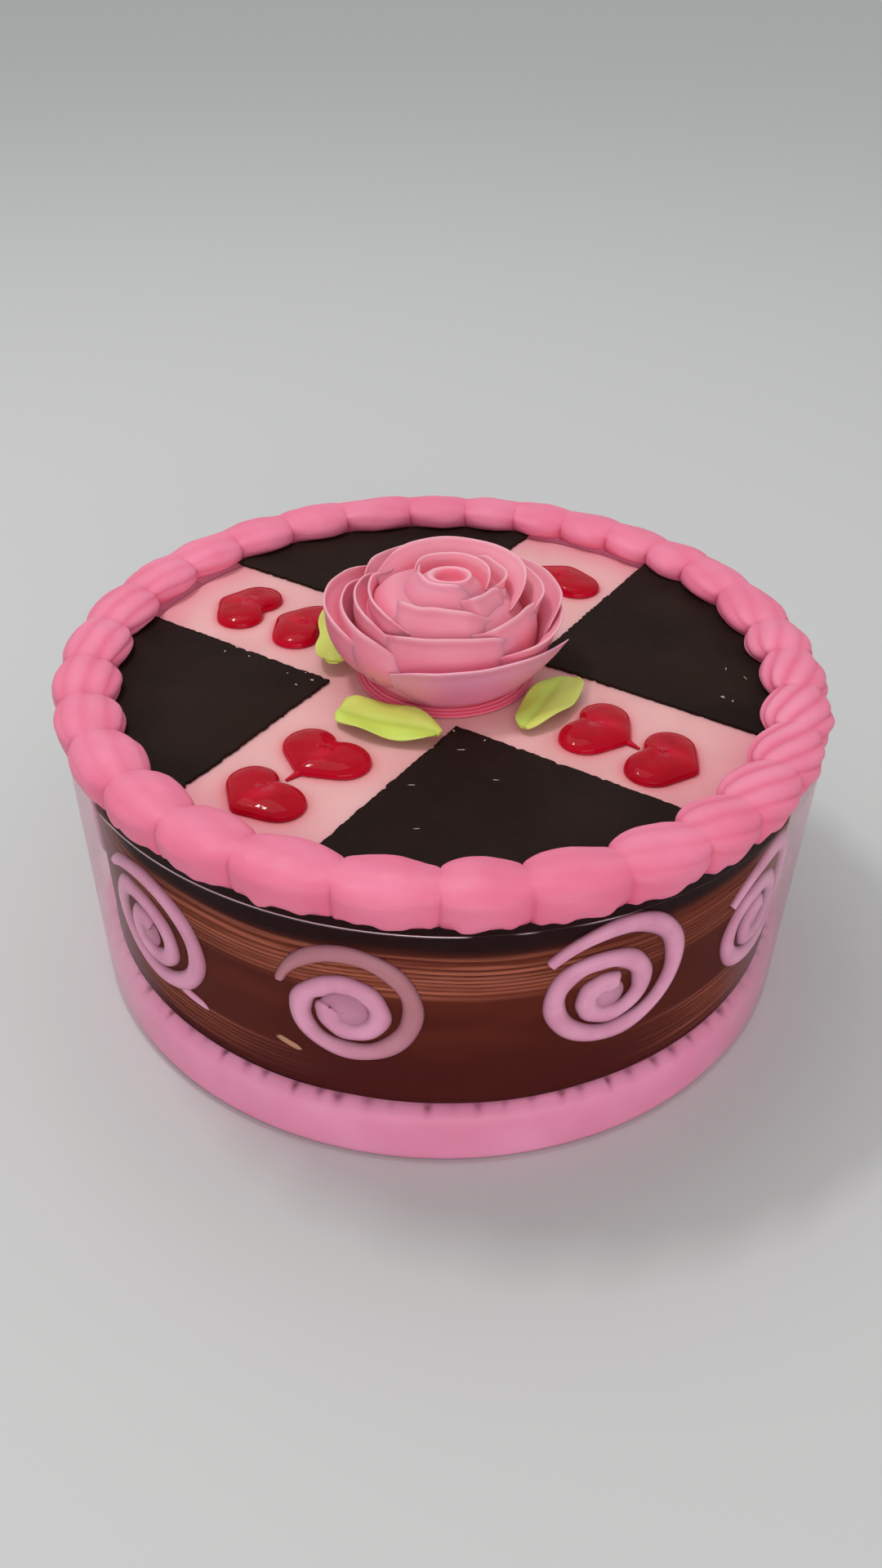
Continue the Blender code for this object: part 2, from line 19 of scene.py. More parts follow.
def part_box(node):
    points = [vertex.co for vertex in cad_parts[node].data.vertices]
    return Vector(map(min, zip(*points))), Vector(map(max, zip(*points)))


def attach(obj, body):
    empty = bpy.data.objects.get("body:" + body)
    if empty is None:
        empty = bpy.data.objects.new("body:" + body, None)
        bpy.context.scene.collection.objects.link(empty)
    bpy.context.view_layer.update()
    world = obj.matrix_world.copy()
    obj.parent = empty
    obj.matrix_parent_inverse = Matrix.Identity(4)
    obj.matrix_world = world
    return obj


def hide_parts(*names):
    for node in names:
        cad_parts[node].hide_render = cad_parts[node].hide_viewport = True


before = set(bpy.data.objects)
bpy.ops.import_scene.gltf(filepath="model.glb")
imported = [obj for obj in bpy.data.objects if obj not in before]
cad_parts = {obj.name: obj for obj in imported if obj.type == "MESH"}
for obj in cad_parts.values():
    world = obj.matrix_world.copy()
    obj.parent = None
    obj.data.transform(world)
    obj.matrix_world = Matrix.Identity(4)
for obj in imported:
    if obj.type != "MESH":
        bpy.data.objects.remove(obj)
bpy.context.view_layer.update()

MM = 0.001

# %% [markdown]
# ## The sizes that everything shares
# A baker measures a cake by its width, its height and the lean of its side. The frame's boxes give the
# first two, so no number has to be kept in step by hand. The side leans in a little towards the foot, so
# one small function says how far out the film stands at a height.

# %% Read the main sizes off the frame
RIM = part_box("clear_film")[1].x
FILM_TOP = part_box("clear_film")[1].z
CREAM_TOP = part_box("cake_body")[1].z
BAND_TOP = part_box("base_band")[1].z
LEAN = 2.8 * MM
CHOCOLATE_IN = 5.5 * MM


def side(height):
    """How far from the axis the film stands at a height."""
    return RIM - LEAN * (1 - height / FILM_TOP)


print(f"rim {RIM / MM:.1f} mm, cream top {CREAM_TOP / MM:.1f} mm, foot band {BAND_TOP / MM:.1f} mm")

# %% [markdown]
# ## From a grid of points to a smooth piece
# Cream is piped, combed and smoothed along lines, so almost every piece here is a grid: rows follow the
# nozzle or the comb, columns run across it. Subdivision could round a coarse cage instead, but a fine grid
# puts each ridge exactly where it belongs. Numbers such as "how deep in a groove" are kept on the points
# as marks, and the finishes read them later.

# %% Grid helper
def settle(mesh_object, finish, nodes):
    """Finish for the piece, its place on the cake, and the solids that it stands for."""
    mesh_object.data.materials.append(finish)
    bpy.context.scene.collection.objects.link(mesh_object)
    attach(mesh_object, "root")
    if nodes:
        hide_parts(*nodes)
    return mesh_object


def grid_faces(rows, columns, round_rows, round_columns):
    """Corner numbers of the grid's quads; a round direction joins its last line to its first."""
    i = np.arange(rows if round_rows else rows - 1)
    j = np.arange(columns if round_columns else columns - 1)
    i, j = np.meshgrid(i, j, indexing="ij")
    after_i, after_j = (i + 1) % rows, (j + 1) % columns
    corners = [i * columns + j, after_i * columns + j, after_i * columns + after_j, i * columns + after_j]
    return np.stack(corners, -1).reshape(-1, 4).tolist()


def piece(name, parts, finish, nodes=(), flip=False):
    """One mesh from several parts, each with its points, its faces and its marks."""
    points = np.concatenate([part["points"].reshape(-1, 3) for part in parts])
    faces, start = [], 0
    for part in parts:
        faces += [[corner + start for corner in face] for face in part["faces"]]
        start += len(part["points"].reshape(-1, 3))
    if flip:
        faces = [face[::-1] for face in faces]
    mesh = bpy.data.meshes.new(name)
    mesh.from_pydata(points.tolist(), [], faces)
    for mark in sorted({key for part in parts for key in part["marks"]}):
        values = [np.broadcast_to(part["marks"].get(mark, 0.0), part["points"].shape[:-1]).reshape(-1)
                  for part in parts]
        mesh.attributes.new(mark, "FLOAT", "POINT").data.foreach_set("value", np.concatenate(values))
    mesh.shade_smooth()
    made = settle(bpy.data.objects.new(name, mesh), finish, nodes)
    print(f"{name}: {len(mesh.polygons)} faces")
    return made


def grid(points, round_rows=False, round_columns=False, **marks):
    """A grid of points as a part of a piece."""
    rows, columns = points.shape[:2]
    return {"points": points, "faces": grid_faces(rows, columns, round_rows, round_columns), "marks": marks}


def capped(part):
    """The part with its first and its last row closed by one face each."""
    rows, columns = part["points"].shape[:2]
    part["faces"].append(list(range(columns))[::-1])
    part["faces"].append([(rows - 1) * columns + i for i in range(columns)])
    return part


def around_axis(turns, radius, height):
    """Points at a radius and a height for each turn about the cake's upright axis."""
    return np.stack(np.broadcast_arrays(np.cos(turns) * radius, np.sin(turns) * radius, height), -1)


def turned(profile, turns):
    """A part from a profile of (radius, height) points carried round the axis."""
    radius, height = np.asarray(profile, float).T
    return grid(around_axis(turns[:, None], radius, height), round_rows=True)


# %% [markdown]
# ## Uneven by hand
# A hand never pipes two equal shells. Two kinds of unevenness are used: a line that wanders and closes on
# itself round the cake, made of a few sine waves, and soft lumps in space from Blender's noise. Both are
# seeded, so that the cake comes out the same each time.

# %% Wandering lines and soft lumps
def wander(turns, waves, seed):
    """A smooth closed line between about -1 and 1, from a few sine waves."""
    draw = random.Random(seed)
    total = sum(np.sin(n * turns + draw.uniform(0, 2 * math.pi)) * draw.uniform(0.5, 1.0) for n in waves)
    return total / math.sqrt(len(waves))


def lumps(points, size, seed=0.0):
    """Soft noise at each point, between about -1 and 1, with lumps of the given size."""
    shift = Vector((seed * 7.3, seed * 3.1, seed * 5.7))
    flat = points.reshape(-1, 3) / size
    values = [noise.noise(Vector(place) + shift) for place in flat.tolist()]
    return np.array(values).reshape(points.shape[:-1])


def smooth(low, high, value):
    """0 below low, 1 above high, and a soft step between."""
    share = np.clip((np.asarray(value, float) - low) / (high - low), 0, 1)
    return share * share * (3 - 2 * share)


def ring_of_turns(steps):
    return np.linspace(-math.pi, math.pi, steps, endpoint=False)


# %% [markdown]
# ## Shader maths that reads like maths
# A finish is a small recipe of nodes. Placing each Math node by hand hides the idea, so a strand wraps one
# socket, and + and * on strands add the Math nodes. Colours go through a Mix node instead, because a
# Math node would turn them grey.

# %% Recipe and strand
class Strand:
    """One output socket of a recipe, to be used in sums."""

    def __init__(self, recipe, socket):
        self.recipe = recipe
        self.socket = socket

    def maths(self, operation, first, second):
        return self.recipe.add("ShaderNodeMath", {"operation": operation}, {0: first, 1: second})

    def __add__(self, other):
        return self.maths("ADD", self, other)

    def __radd__(self, other):
        return self.maths("ADD", other, self)

    def __mul__(self, other):
        return self.maths("MULTIPLY", self, other)


class Recipe:
    """A finish under construction."""

    def __init__(self, name):
        self.finish = bpy.data.materials.new(name)
        self.finish.use_nodes = True
        self.nodes = self.finish.node_tree.nodes
        self.nodes.clear()

    def add(self, kind, settings=None, sockets=None, out=0):
        """A node of any kind: its settings come first, then the values or strands of its sockets."""
        node = self.nodes.new(kind)
        for key, value in (settings or {}).items():
            setattr(node, key, value)
        for key, value in (sockets or {}).items():
            if isinstance(value, Strand):
                self.finish.node_tree.links.new(value.socket, node.inputs[key])
            else:
                node.inputs[key].default_value = value
        return Strand(self, node.outputs[out])

    def mark(self, name):
        """A mark that was left on the mesh's points."""
        return self.add("ShaderNodeAttribute", {"attribute_name": name}, out="Fac")

    def place(self, stretch=(1, 1, 1)):
        """Where on the cake a point is, in metres, stretched if a pattern is longer one way."""
        where = self.add("ShaderNodeTexCoord", out="Object")
        return self.add("ShaderNodeVectorMath", {"operation": "MULTIPLY"}, {0: where, 1: stretch})

    def speckle(self, scale, detail=3.0, rough=0.55, stretch=(1, 1, 1)):
        """Noise whose lumps are about 1 / scale metres wide."""
        return self.add("ShaderNodeTexNoise", None, {"Vector": self.place(stretch), "Scale": scale,
                                                     "Detail": detail, "Roughness": rough})

    def step(self, value, low, high, start=0.0, end=1.0):
        """A soft step of a value from start to end."""
        return self.add("ShaderNodeMapRange", {"interpolation_type": "SMOOTHSTEP"},
                        {"Value": value, "From Min": low, "From Max": high, "To Min": start, "To Max": end})

    def mix(self, share, first, second):
        """Two colours mixed; share 0 is the first."""
        return self.add("ShaderNodeMix", {"data_type": "RGBA"}, {0: share, 6: first, 7: second}, out=2)

    def bump(self, height, depth):
        """Fine relief too small to be worth points of its own; depth is in metres."""
        return self.add("ShaderNodeBump", None, {"Height": height, "Distance": depth, "Strength": 1.0})

    def serve(self, **sockets):
        """Ends the recipe with one Principled shader. Underscores in a name stand for spaces."""
        named = {key.replace("_", " "): value for key, value in sockets.items()}
        shader = self.add("ShaderNodeBsdfPrincipled", None, named)
        self.add_output(shader)
        return self.finish

    def add_output(self, shader):
        end = self.nodes.new("ShaderNodeOutputMaterial")
        self.finish.node_tree.links.new(shader.socket, end.inputs["Surface"])


def paint(red, green, blue):
    """A colour as it looks, 0 to 255, made into the light values that a shader wants."""
    scaled = [value / 255 for value in (red, green, blue)]
    return (*[((value + 0.055) / 1.055) ** 2.4 if value > 0.04 else value / 12.92 for value in scaled], 1.0)


# %% [markdown]
# ## Finish of piped cream
# Piped cream is satin: light sinks into it and comes back warmer. A deeper pink is painted into its grooves
# as shade and a paler one onto its crests as highlight, so a groove looks deeper in colour than the ridge
# beside it. A plain pink would look like painted clay. The recipe mixes three pinks by the groove mark, the
# crest mark and wide soft patches, adds a little scattering under the surface, and roughens the gloss with
# fine grains of fat and air.

# %% Piped cream in its different pinks
# pale is the painted highlight on the crests; deep is the pink of random patches and also the painted shade
# in grooves
def piped_cream(name, pale, main, deep, patch=0.35):
    recipe = Recipe(name)
    patches = recipe.speckle(38, 2.0)
    fine = recipe.speckle(900, 4.0, 0.6)
    groove = recipe.mark("groove")
    crest = recipe.mark("crest")
    colour = recipe.mix(recipe.step(patches, 0.35, 0.68) * patch, main, deep)
    # Painted shade in the grooves, then a painted highlight on the crests
    colour = recipe.mix(groove, colour, deep)
    colour = recipe.mix(crest, colour, pale)
    return recipe.serve(Base_Color=colour, Roughness=0.46 + fine * 0.12, Normal=recipe.bump(fine, 0.00006),
                        Subsurface_Weight=0.22, Subsurface_Radius=(1.0, 0.35, 0.3), Subsurface_Scale=0.004,
                        Specular_IOR_Level=0.42)


border_cream = piped_cream("border_cream", paint(244, 160, 184), paint(233, 125, 155), paint(222, 86, 120))
print("finish:", border_cream.name)

# %% [markdown]
# ## Shells round the rim
# A shell is a squeeze of a star nozzle: it swells over its head, thins to a tail, and the next one starts
# on that tail. The star's ridges are crisp where the cream was firm, on the right, and almost melt away in
# front. The border hangs over the edge like a hook, and its inner side dips deepest between two shells.
# Thirty-one modelled shells would have to be joined by hand. One section, carried round the ring and
# swelled from valley to valley, gives them in one closed skin, as one squeeze after another really does.

# %% Where the shells meet
VALLEYS = (-90.2, -78.8, -65.8, -53.5, -43.6, -32.1, -20.5, -8.7, 2.9, 12.8, 25.6, 37.0, 46.3, 56.2,
           66.3, 76.4, 86.4, 97.6, 110.8, 122.8, 134.8, 147.0, 159.4, 171.8, 184.1, 195.1, 206.1, 218.9,
           230.6, 242.6, 256.4)
SHELL_STATIONS = 38
VALLEY_HEIGHT, VALLEY_WIDTH = 0.88, 0.68
BORDER_MIDDLE, BORDER_HALF_WIDTH, BORDER_RISE = 116.4 * MM, 11.1 * MM, 6.1 * MM
STAR_RIDGES = 6


def near(degrees, middle, half):
    """1 at a place round the cake, fading out over about so many degrees to each side of it."""
    return np.exp(-(((degrees - middle + 180) % 360 - 180) / half) ** 2)


def shell_stations():
    """Turn in degrees, height share, width share and swell, for each station of the border."""
    draw = random.Random(11)
    rows = []
    for valley, following in zip(VALLEYS, VALLEYS[1:] + (VALLEYS[0] + 360,)):
        tall, broad = draw.uniform(0.94, 1.05), draw.uniform(0.96, 1.0)
        share = (np.arange(SHELL_STATIONS) / SHELL_STATIONS) ** 1.15
        arch = np.sin(math.pi * share ** 0.86) ** 0.62
        height = VALLEY_HEIGHT + (tall - VALLEY_HEIGHT) * arch ** 1.8
        width = VALLEY_WIDTH + (broad - VALLEY_WIDTH) * arch
        rows.append(np.stack([valley + (following - valley) * share, height, width, arch], 1))
    return np.concatenate(rows).T[..., None]


def ridge_drift(degrees):
    """How many ridges the star pattern has moved across the border, up to each station."""
    pace = 0.04 + 0.10 * near(degrees, -22, 34)
    steps = np.diff(degrees[:, 0], append=degrees[0, 0] + 360)[:, None]
    moved = np.cumsum(pace * steps, 0) - pace * steps
    total = (pace * steps).sum()
    return moved * round(total) / total


# %% Carry the star section round the ring
def shell_ring():
    degrees, size, width, arch = shell_stations()
    turns = np.radians(degrees)
    along = np.linspace(0, 1, 66)
    angle = np.radians(-40 + 265 * along)
    crisp = 0.10 + 0.90 * near(degrees, -22, 34) + 0.50 * near(degrees, 178, 32)
    ridge = np.abs(np.sin(math.pi * (STAR_RIDGES * along + ridge_drift(degrees)))) ** 0.8
    fade = smooth(0.0, 0.10, along) * smooth(1.0, 0.90, along)
    swell = 1 + 0.13 * crisp * (0.45 + 0.55 * arch) * (ridge - 0.62) * fade
    inward = smooth(0.3, -0.5, np.cos(angle))
    pinch = 1 - (1 - width) * np.abs(np.cos(angle)) ** 1.4 - 0.12 * inward * (1 - arch)
    sideways = np.cos(angle) * BORDER_HALF_WIDTH * pinch * swell
    upper = np.sin(angle) * BORDER_RISE * size * swell * (1 - 0.30 * inward * (1 - arch))
    lower = np.sin(angle) * np.where(np.cos(angle) > 0, 12.0, 3.9) * MM
    height = CREAM_TOP + 3.6 * MM + np.where(np.sin(angle) >= 0, upper, lower)
    radius = BORDER_MIDDLE - 2.2 * MM * near(degrees, 8, 40) + sideways
    hang = smooth(0.16, 0.0, along)
    height = height + hang * (0.9 * MM * wander(turns, (41, 67, 83, 112), 5) + 2.0 * MM * (1 - arch) ** 2)
    height = np.maximum(height, np.where(np.cos(angle) > 0, FILM_TOP + 0.8 * MM, CREAM_TOP + 0.3 * MM))
    under = np.array([(106.5, 101.3), (111.0, 101.3), (116.8, 101.3), (117.8, 99.0), (117.8, 95.9),
                      (120.5, 95.9)]) * MM
    under_radius = np.broadcast_to(under[:, 0], (len(degrees), len(under)))
    under_height = np.broadcast_to(under[:, 1], (len(degrees), len(under)))
    last = radius[:, :1] - 1.6 * MM
    radius = np.concatenate([radius, under_radius, last], 1)
    height = np.concatenate([height, under_height, np.full_like(last, FILM_TOP + 0.6 * MM)], 1)
    points = around_axis(turns, radius, height)
    hidden = np.zeros(len(under) + 1)
    soft_lumps = (0.75 - 0.35 * crisp) * MM * lumps(points, 10 * MM, 1)
    soft_lumps += 0.14 * MM * lumps(points, 3.2 * MM, 2)
    points[..., 2] += soft_lumps * np.concatenate([fade, hidden])
    extra = np.zeros((len(degrees), len(hidden)))
    # Painted shade in the star grooves, the valleys between shells and the hidden underside; painted
    # highlight on the ridge crests
    groove = np.concatenate([(1 - ridge) ** 1.6 * fade * crisp, extra], 1)
    notch = (1 - arch) * (0.25 + 0.75 * np.abs(2 * along - 1) ** 2)
    valley = np.concatenate([notch, extra + 1], 1)
    crest = np.concatenate([np.clip(ridge - 0.5, 0, 1) * fade * smooth(0.3, 0.5, along) * crisp, extra], 1)
    groove = np.clip(groove * 0.7 + valley * 0.6, 0, 1)
    return grid(points, True, True, groove=groove, crest=crest * 0.8)


piece("shell_ring", [shell_ring()], border_cream, ["shell_border"])

# %% [markdown]
# ## Cream coat on top
# The flat top was smoothed with a long knife, so it is level but not glassy: very shallow waves and faint
# strokes, with a pinker painted shade near the shells. Red gel also bleeds into the cream round each heart.
# The bleeding follows the hearts, so the mesh carries it as a mark: one number per point, from the distance
# to each heart's outline.

# %% The hearts' places, which the stain needs too
# Each heart: its middle as x and y in mm, the way its tip points in degrees, and its size
HEARTS = {
    "heart_front_left_inner": ((-35.5, -51.0), -127, 1.03),
    "heart_front_left_outer": ((-51.5, -71.9), -138, 0.98),
    "heart_front_right_inner": ((47.0, -34.5), -33, 0.99),
    "heart_front_right_outer": ((65.7, -50.6), -32, 1.0),
    "heart_back_left_outer": ((-70.0, 39.8), 155, 1.0),
    "heart_back_left_inner": ((-48.5, 26.5), 150, 1.0),
    "heart_back_right_outer": ((41.5, 63.5), 68, 1.04),
    "heart_back_right_inner": ((25.0, 43.0), 62, 0.92),
}
LOBE, APART, TIP = 8.3, 6.7, 13.0


def heart_line(steps):
    """Outline of a heart in mm, tip towards +X: two round lobes and straight sides, softened at the tip."""
    lean = math.acos(LOBE / math.hypot(TIP, APART)) - math.atan2(APART, TIP)
    notch = math.pi + math.asin(APART / LOBE)
    arc = np.linspace(lean, notch, 40)
    lobe = np.stack([LOBE * np.cos(arc), APART + LOBE * np.sin(arc)], -1)
    line = np.concatenate([[(TIP, 0)], lobe, lobe[-2::-1] * (1, -1), [(TIP, 0)]])
    walked = np.concatenate([[0], np.cumsum(np.hypot(*np.diff(line, axis=0).T))])
    at = np.linspace(0, walked[-1], steps, endpoint=False)
    line = np.stack([np.interp(at, walked, line[:, 0]), np.interp(at, walked, line[:, 1])], -1)
    for _ in range(max(1, steps // 12)):
        line = (np.roll(line, 1, 0) + 2 * line + np.roll(line, -1, 0)) / 4
    return line


def placed_heart(name, steps):
    """Outline of one of the cake's hearts where it lies, in metres."""
    place, degrees, scale = HEARTS[name]
    turn = math.radians(degrees)
    spin = np.array([[math.cos(turn), math.sin(turn)], [-math.sin(turn), math.cos(turn)]])
    return (heart_line(steps) * scale @ spin + np.array(place)) * MM


# %% Coat of the whole sponge
def cream_coat():
    turns = ring_of_turns(400)
    rim, foot = side(CREAM_TOP) - 7.8 * MM, side(0) - 7.8 * MM
    inner = np.linspace(0.05 * MM, rim - 1.5 * MM, 118)
    bend = [(rim - 1.0 * MM, CREAM_TOP - 0.1 * MM), (rim - 0.4 * MM, CREAM_TOP - 0.5 * MM),
            (rim, CREAM_TOP - 1.5 * MM)]
    wall = [(rim + (foot - rim) * share, CREAM_TOP - 1.5 * MM + (3.0 * MM - CREAM_TOP) * share)
            for share in np.linspace(0.1, 1, 12)]
    bottom = [(foot - 1.5 * MM, 0.0)] + [(foot * share, 0.0) for share in (0.8, 0.5, 0.2, 0.0004)]
    profile = [(radius, CREAM_TOP) for radius in inner] + bend + wall + bottom
    part = turned(profile, turns)
    points = part["points"]
    top = np.zeros(len(profile))
    top[:len(inner)] = 1
    strokes = lumps(points * np.array([1.0, 0.35, 1.0]), 16 * MM, 3)
    points[..., 2] += top * (0.10 * MM * lumps(points, 30 * MM, 4) + 0.05 * MM * strokes)
    red = np.zeros(points.shape[:-1])
    flat = points[:, :len(inner), :2].reshape(-1, 2)
    nearest = np.full(len(flat), 1.0)
    for name in HEARTS:
        for spot in placed_heart(name, 40):
            nearest = np.minimum(nearest, np.hypot(*(flat - spot).T))
    red[:, :len(inner)] = np.exp(-nearest / (1.5 * MM)).reshape(len(turns), len(inner))
    distance = np.hypot(points[..., 0], points[..., 1])
    # The edge mark paints shade near the shells
    part["marks"] = {"red": red, "edge": smooth(84 * MM, 112 * MM, distance) * top}
    return part


def top_cream():
    recipe = Recipe("top_cream")
    patches = recipe.speckle(22, 2.0)
    strokes = recipe.speckle(60, 3.0, 0.5, stretch=(1.0, 0.3, 1.0))
    fine = recipe.speckle(1100, 3.0, 0.6)
    colour = recipe.mix(recipe.step(patches, 0.35, 0.7), paint(228, 171, 170), paint(219, 154, 153))
    colour = recipe.mix(recipe.step(strokes, 0.4, 0.8) * 0.5, colour, paint(234, 182, 178))
    # Painted shade near the shells
    colour = recipe.mix(recipe.mark("edge") * 0.7, colour, paint(224, 130, 148))
    colour = recipe.mix(recipe.mark("red") * 0.75, colour, paint(222, 60, 84))
    return recipe.serve(Base_Color=colour, Roughness=0.5 + fine * 0.1,
                        Normal=recipe.bump(strokes + fine * 0.2, 0.0001),
                        Subsurface_Weight=0.2, Subsurface_Radius=(1.0, 0.4, 0.35), Subsurface_Scale=0.003)


piece("cream_coat", [cream_coat()], top_cream(), ["cake_body"], flip=True)

# %% [markdown]
# ## Foot band
# The pink band at the foot is spread on the side like a broad ribbon: flat in front, rounded over at its
# top, where it meets the chocolate. A comb left small teeth along that edge, and between them the cream
# dips and lets the chocolate show. A picture of teeth laid on a smooth band would look printed from the
# side, so they are in the shape, ninety round the cake and none like the next.

# %% Spread the band and nick its top edge
def comb_teeth(turns, count, seed):
    """0 on a tooth and up to 1 in the nick between two, with every nick of its own depth and place."""
    draw = random.Random(seed)
    total = np.zeros_like(turns)
    for number in range(count):
        centre = 2 * math.pi * (number + draw.uniform(-0.22, 0.22)) / count
        gap = (turns - centre + math.pi) % (2 * math.pi) - math.pi
        deep, half = draw.uniform(0.15, 1.0), draw.uniform(0.007, 0.014)
        total = np.maximum(total, deep * np.exp(-(gap / half) ** 2))
    return total


def foot_band():
    turns = ring_of_turns(1080)
    nick = comb_teeth(turns, 90, 21)[:, None]
    uneven = wander(turns, (5, 9, 14, 23), 8)[:, None]
    foot, shoulder = 0.5 * MM, 16 * MM
    face = [(0.8, 0.5), (0.2, 1.6), (0.0, 3.5), (-0.05, 7), (-0.05, 10), (0.0, 13), (0.12, 15.2)]
    bend = [(0.45, 17.0), (1.0, 18.3), (1.9, 19.5), (2.9, 20.4), (3.8, 21.0), (4.6, 21.4), (5.2, 21.5),
            (6.4, 21.5)]
    back = [(6.6, 21.0), (6.6, 12), (6.6, 0.6), (3.0, 0.5)]
    depth, height = np.array(face + bend + back).T * MM
    radius = side(height) - 0.85 * MM - depth
    dip = np.zeros(len(depth))
    dip[len(face):len(face) + len(bend)] = (0.0, 0.1, 0.3, 0.6, 0.85, 1.0, 1.0, 0.0)
    loose = np.zeros(len(depth))
    loose[1:len(face) + 4] = 1
    radius = radius - 0.25 * MM * (0.5 + 0.5 * uneven) * loose
    height = height - nick * dip * 1.4 * MM + 0.3 * MM * uneven * dip - 0.35 * MM * dip
    radius = radius + nick * dip * 0.3 * MM
    points = around_axis(turns[:, None], radius, np.maximum(height, foot))
    # Painted shade in the comb nicks, and darker towards the foot of the band
    low = smooth(shoulder, 0, height) * 0.5
    groove = np.clip(nick * dip * 0.9 + low * 0.3, 0, 1)
    return grid(points, True, True, groove=groove, crest=0.25 * dip * (1 - nick),
                brown=nick * smooth(0.75, 1.0, dip))


def band_cream():
    recipe = Recipe("foot_cream")
    patches = recipe.speckle(26, 2.0)
    fine = recipe.speckle(900, 3.0, 0.6)
    colour = recipe.mix(recipe.step(patches, 0.3, 0.7), paint(240, 156, 190), paint(230, 138, 172))
    # Painted shade in the nicks and towards the foot
    colour = recipe.mix(recipe.mark("groove") * 0.7, colour, paint(206, 112, 148))
    colour = recipe.mix(recipe.mark("brown") * 0.65, colour, paint(104, 50, 58))
    return recipe.serve(Base_Color=colour, Roughness=0.42 + fine * 0.12, Normal=recipe.bump(fine, 0.00005),
                        Subsurface_Weight=0.2, Subsurface_Radius=(1.0, 0.4, 0.4), Subsurface_Scale=0.003)


piece("foot_band", [foot_band()], band_cream(), ["base_band"])

# %% [markdown]
# ## Combed chocolate
# The chocolate was spread thin and drawn round with a toothed comb while it was soft. Along the upper part
# the teeth left fine level streaks, painted paler as the sheen they catch; lower down it set smooth and is
# painted darker towards the foot, and in a few places near the foot the comb touched again. Just under the
# shells a painted shadow makes it nearly black. One strength number per point says how hard the comb pressed
# there, and it drives both the relief and the colour.

# %% How hard the comb pressed
def comb_strength(degrees, height):
    """Share of full pressure at a turn in degrees and a height in metres."""
    def patch(middle, half, low, high):
        gap = (degrees - middle + 180) % 360 - 180
        return np.exp(-(gap / half) ** 2) * smooth(low - 3 * MM, low + 3 * MM, height) * smooth(
            high + 1.5 * MM, high - 1.5 * MM, height)
    total = patch(-116, 30, 67 * MM, 82 * MM) + 0.75 * patch(-84, 22, 66 * MM, 82 * MM)
    total += 0.9 * patch(-132, 14, 27 * MM, 37 * MM) + 0.85 * patch(-43, 11, 25 * MM, 40 * MM)
    for middle in (-30, 25, 70, 118, 160):
        total += 0.6 * patch(middle, 24, 66 * MM, 82 * MM)
    for middle in (95, 20, 170):
        total += 0.7 * patch(middle, 12, 26 * MM, 38 * MM)
    return np.clip(total, 0, 1)


def chocolate_face(height):
    """How far from the axis the chocolate stands at a height."""
    return side(height) - CHOCOLATE_IN


def teeth_lines(height, seed, pitch):
    """Cross-section of the comb's marks up the side: rounded ribs with sharp furrows."""
    draw = random.Random(seed)
    at = np.asarray(height, float) / pitch
    drift = sum(np.sin(at * draw.uniform(0.3, 1.1) + draw.uniform(0, 6)) for _ in range(3)) * 0.35
    return np.abs(np.sin(math.pi * (at + drift)))


# %% Spread and comb the chocolate
def chocolate_side():
    turns = ring_of_turns(420)
    degrees = np.degrees(turns)[:, None]
    low, high = BAND_TOP + 0.3 * MM, 95.6 * MM
    heights = np.linspace(low, high, 196)
    tilt = 1.2 * MM * wander(turns, (2, 3, 5), 31)[:, None] + 0.5 * MM * wander(turns, (9, 13), 32)[:, None]
    press = comb_strength(degrees, heights)
    ribs = teeth_lines(heights + tilt, 7, 2.3 * MM)
    fine = teeth_lines(heights + tilt * 0.6, 8, 0.95 * MM)
    foot_line = smooth(low + 4 * MM, low, heights) * teeth_lines(heights + 0.4 * tilt, 9, 1.3 * MM)
    relief = press * (0.42 * MM * (ribs - 0.6) + 0.16 * MM * (fine - 0.6)) + 0.25 * MM * (foot_line - 0.2)
    uneven = 0.15 * MM * wander(turns, (4, 7, 11), 33)[:, None]
    front = around_axis(turns[:, None], chocolate_face(heights) - 0.12 * MM + relief + uneven, heights)
    back_heights = heights[::-28]
    back = around_axis(turns[:, None], chocolate_face(back_heights) - 1.9 * MM, back_heights)
    # The marks paint the sheen of the combed ribs, shade in the comb lines at the foot, a darker tone
    # towards the foot and the shells' shadow near the top
    marks = {"press": press, "bloom": press * smooth(0.25, 0.9, ribs) * (0.55 + 0.45 * fine),
             "groove": foot_line, "shade": smooth(79.5 * MM, 85.0 * MM, heights + tilt),
             "low": smooth(58 * MM, 26 * MM, heights + tilt)}
    pad = np.zeros((len(turns), len(back_heights)))
    return grid(np.concatenate([front, back], 1), True, True,
                **{name: np.concatenate([mark, pad], 1) for name, mark in marks.items()})


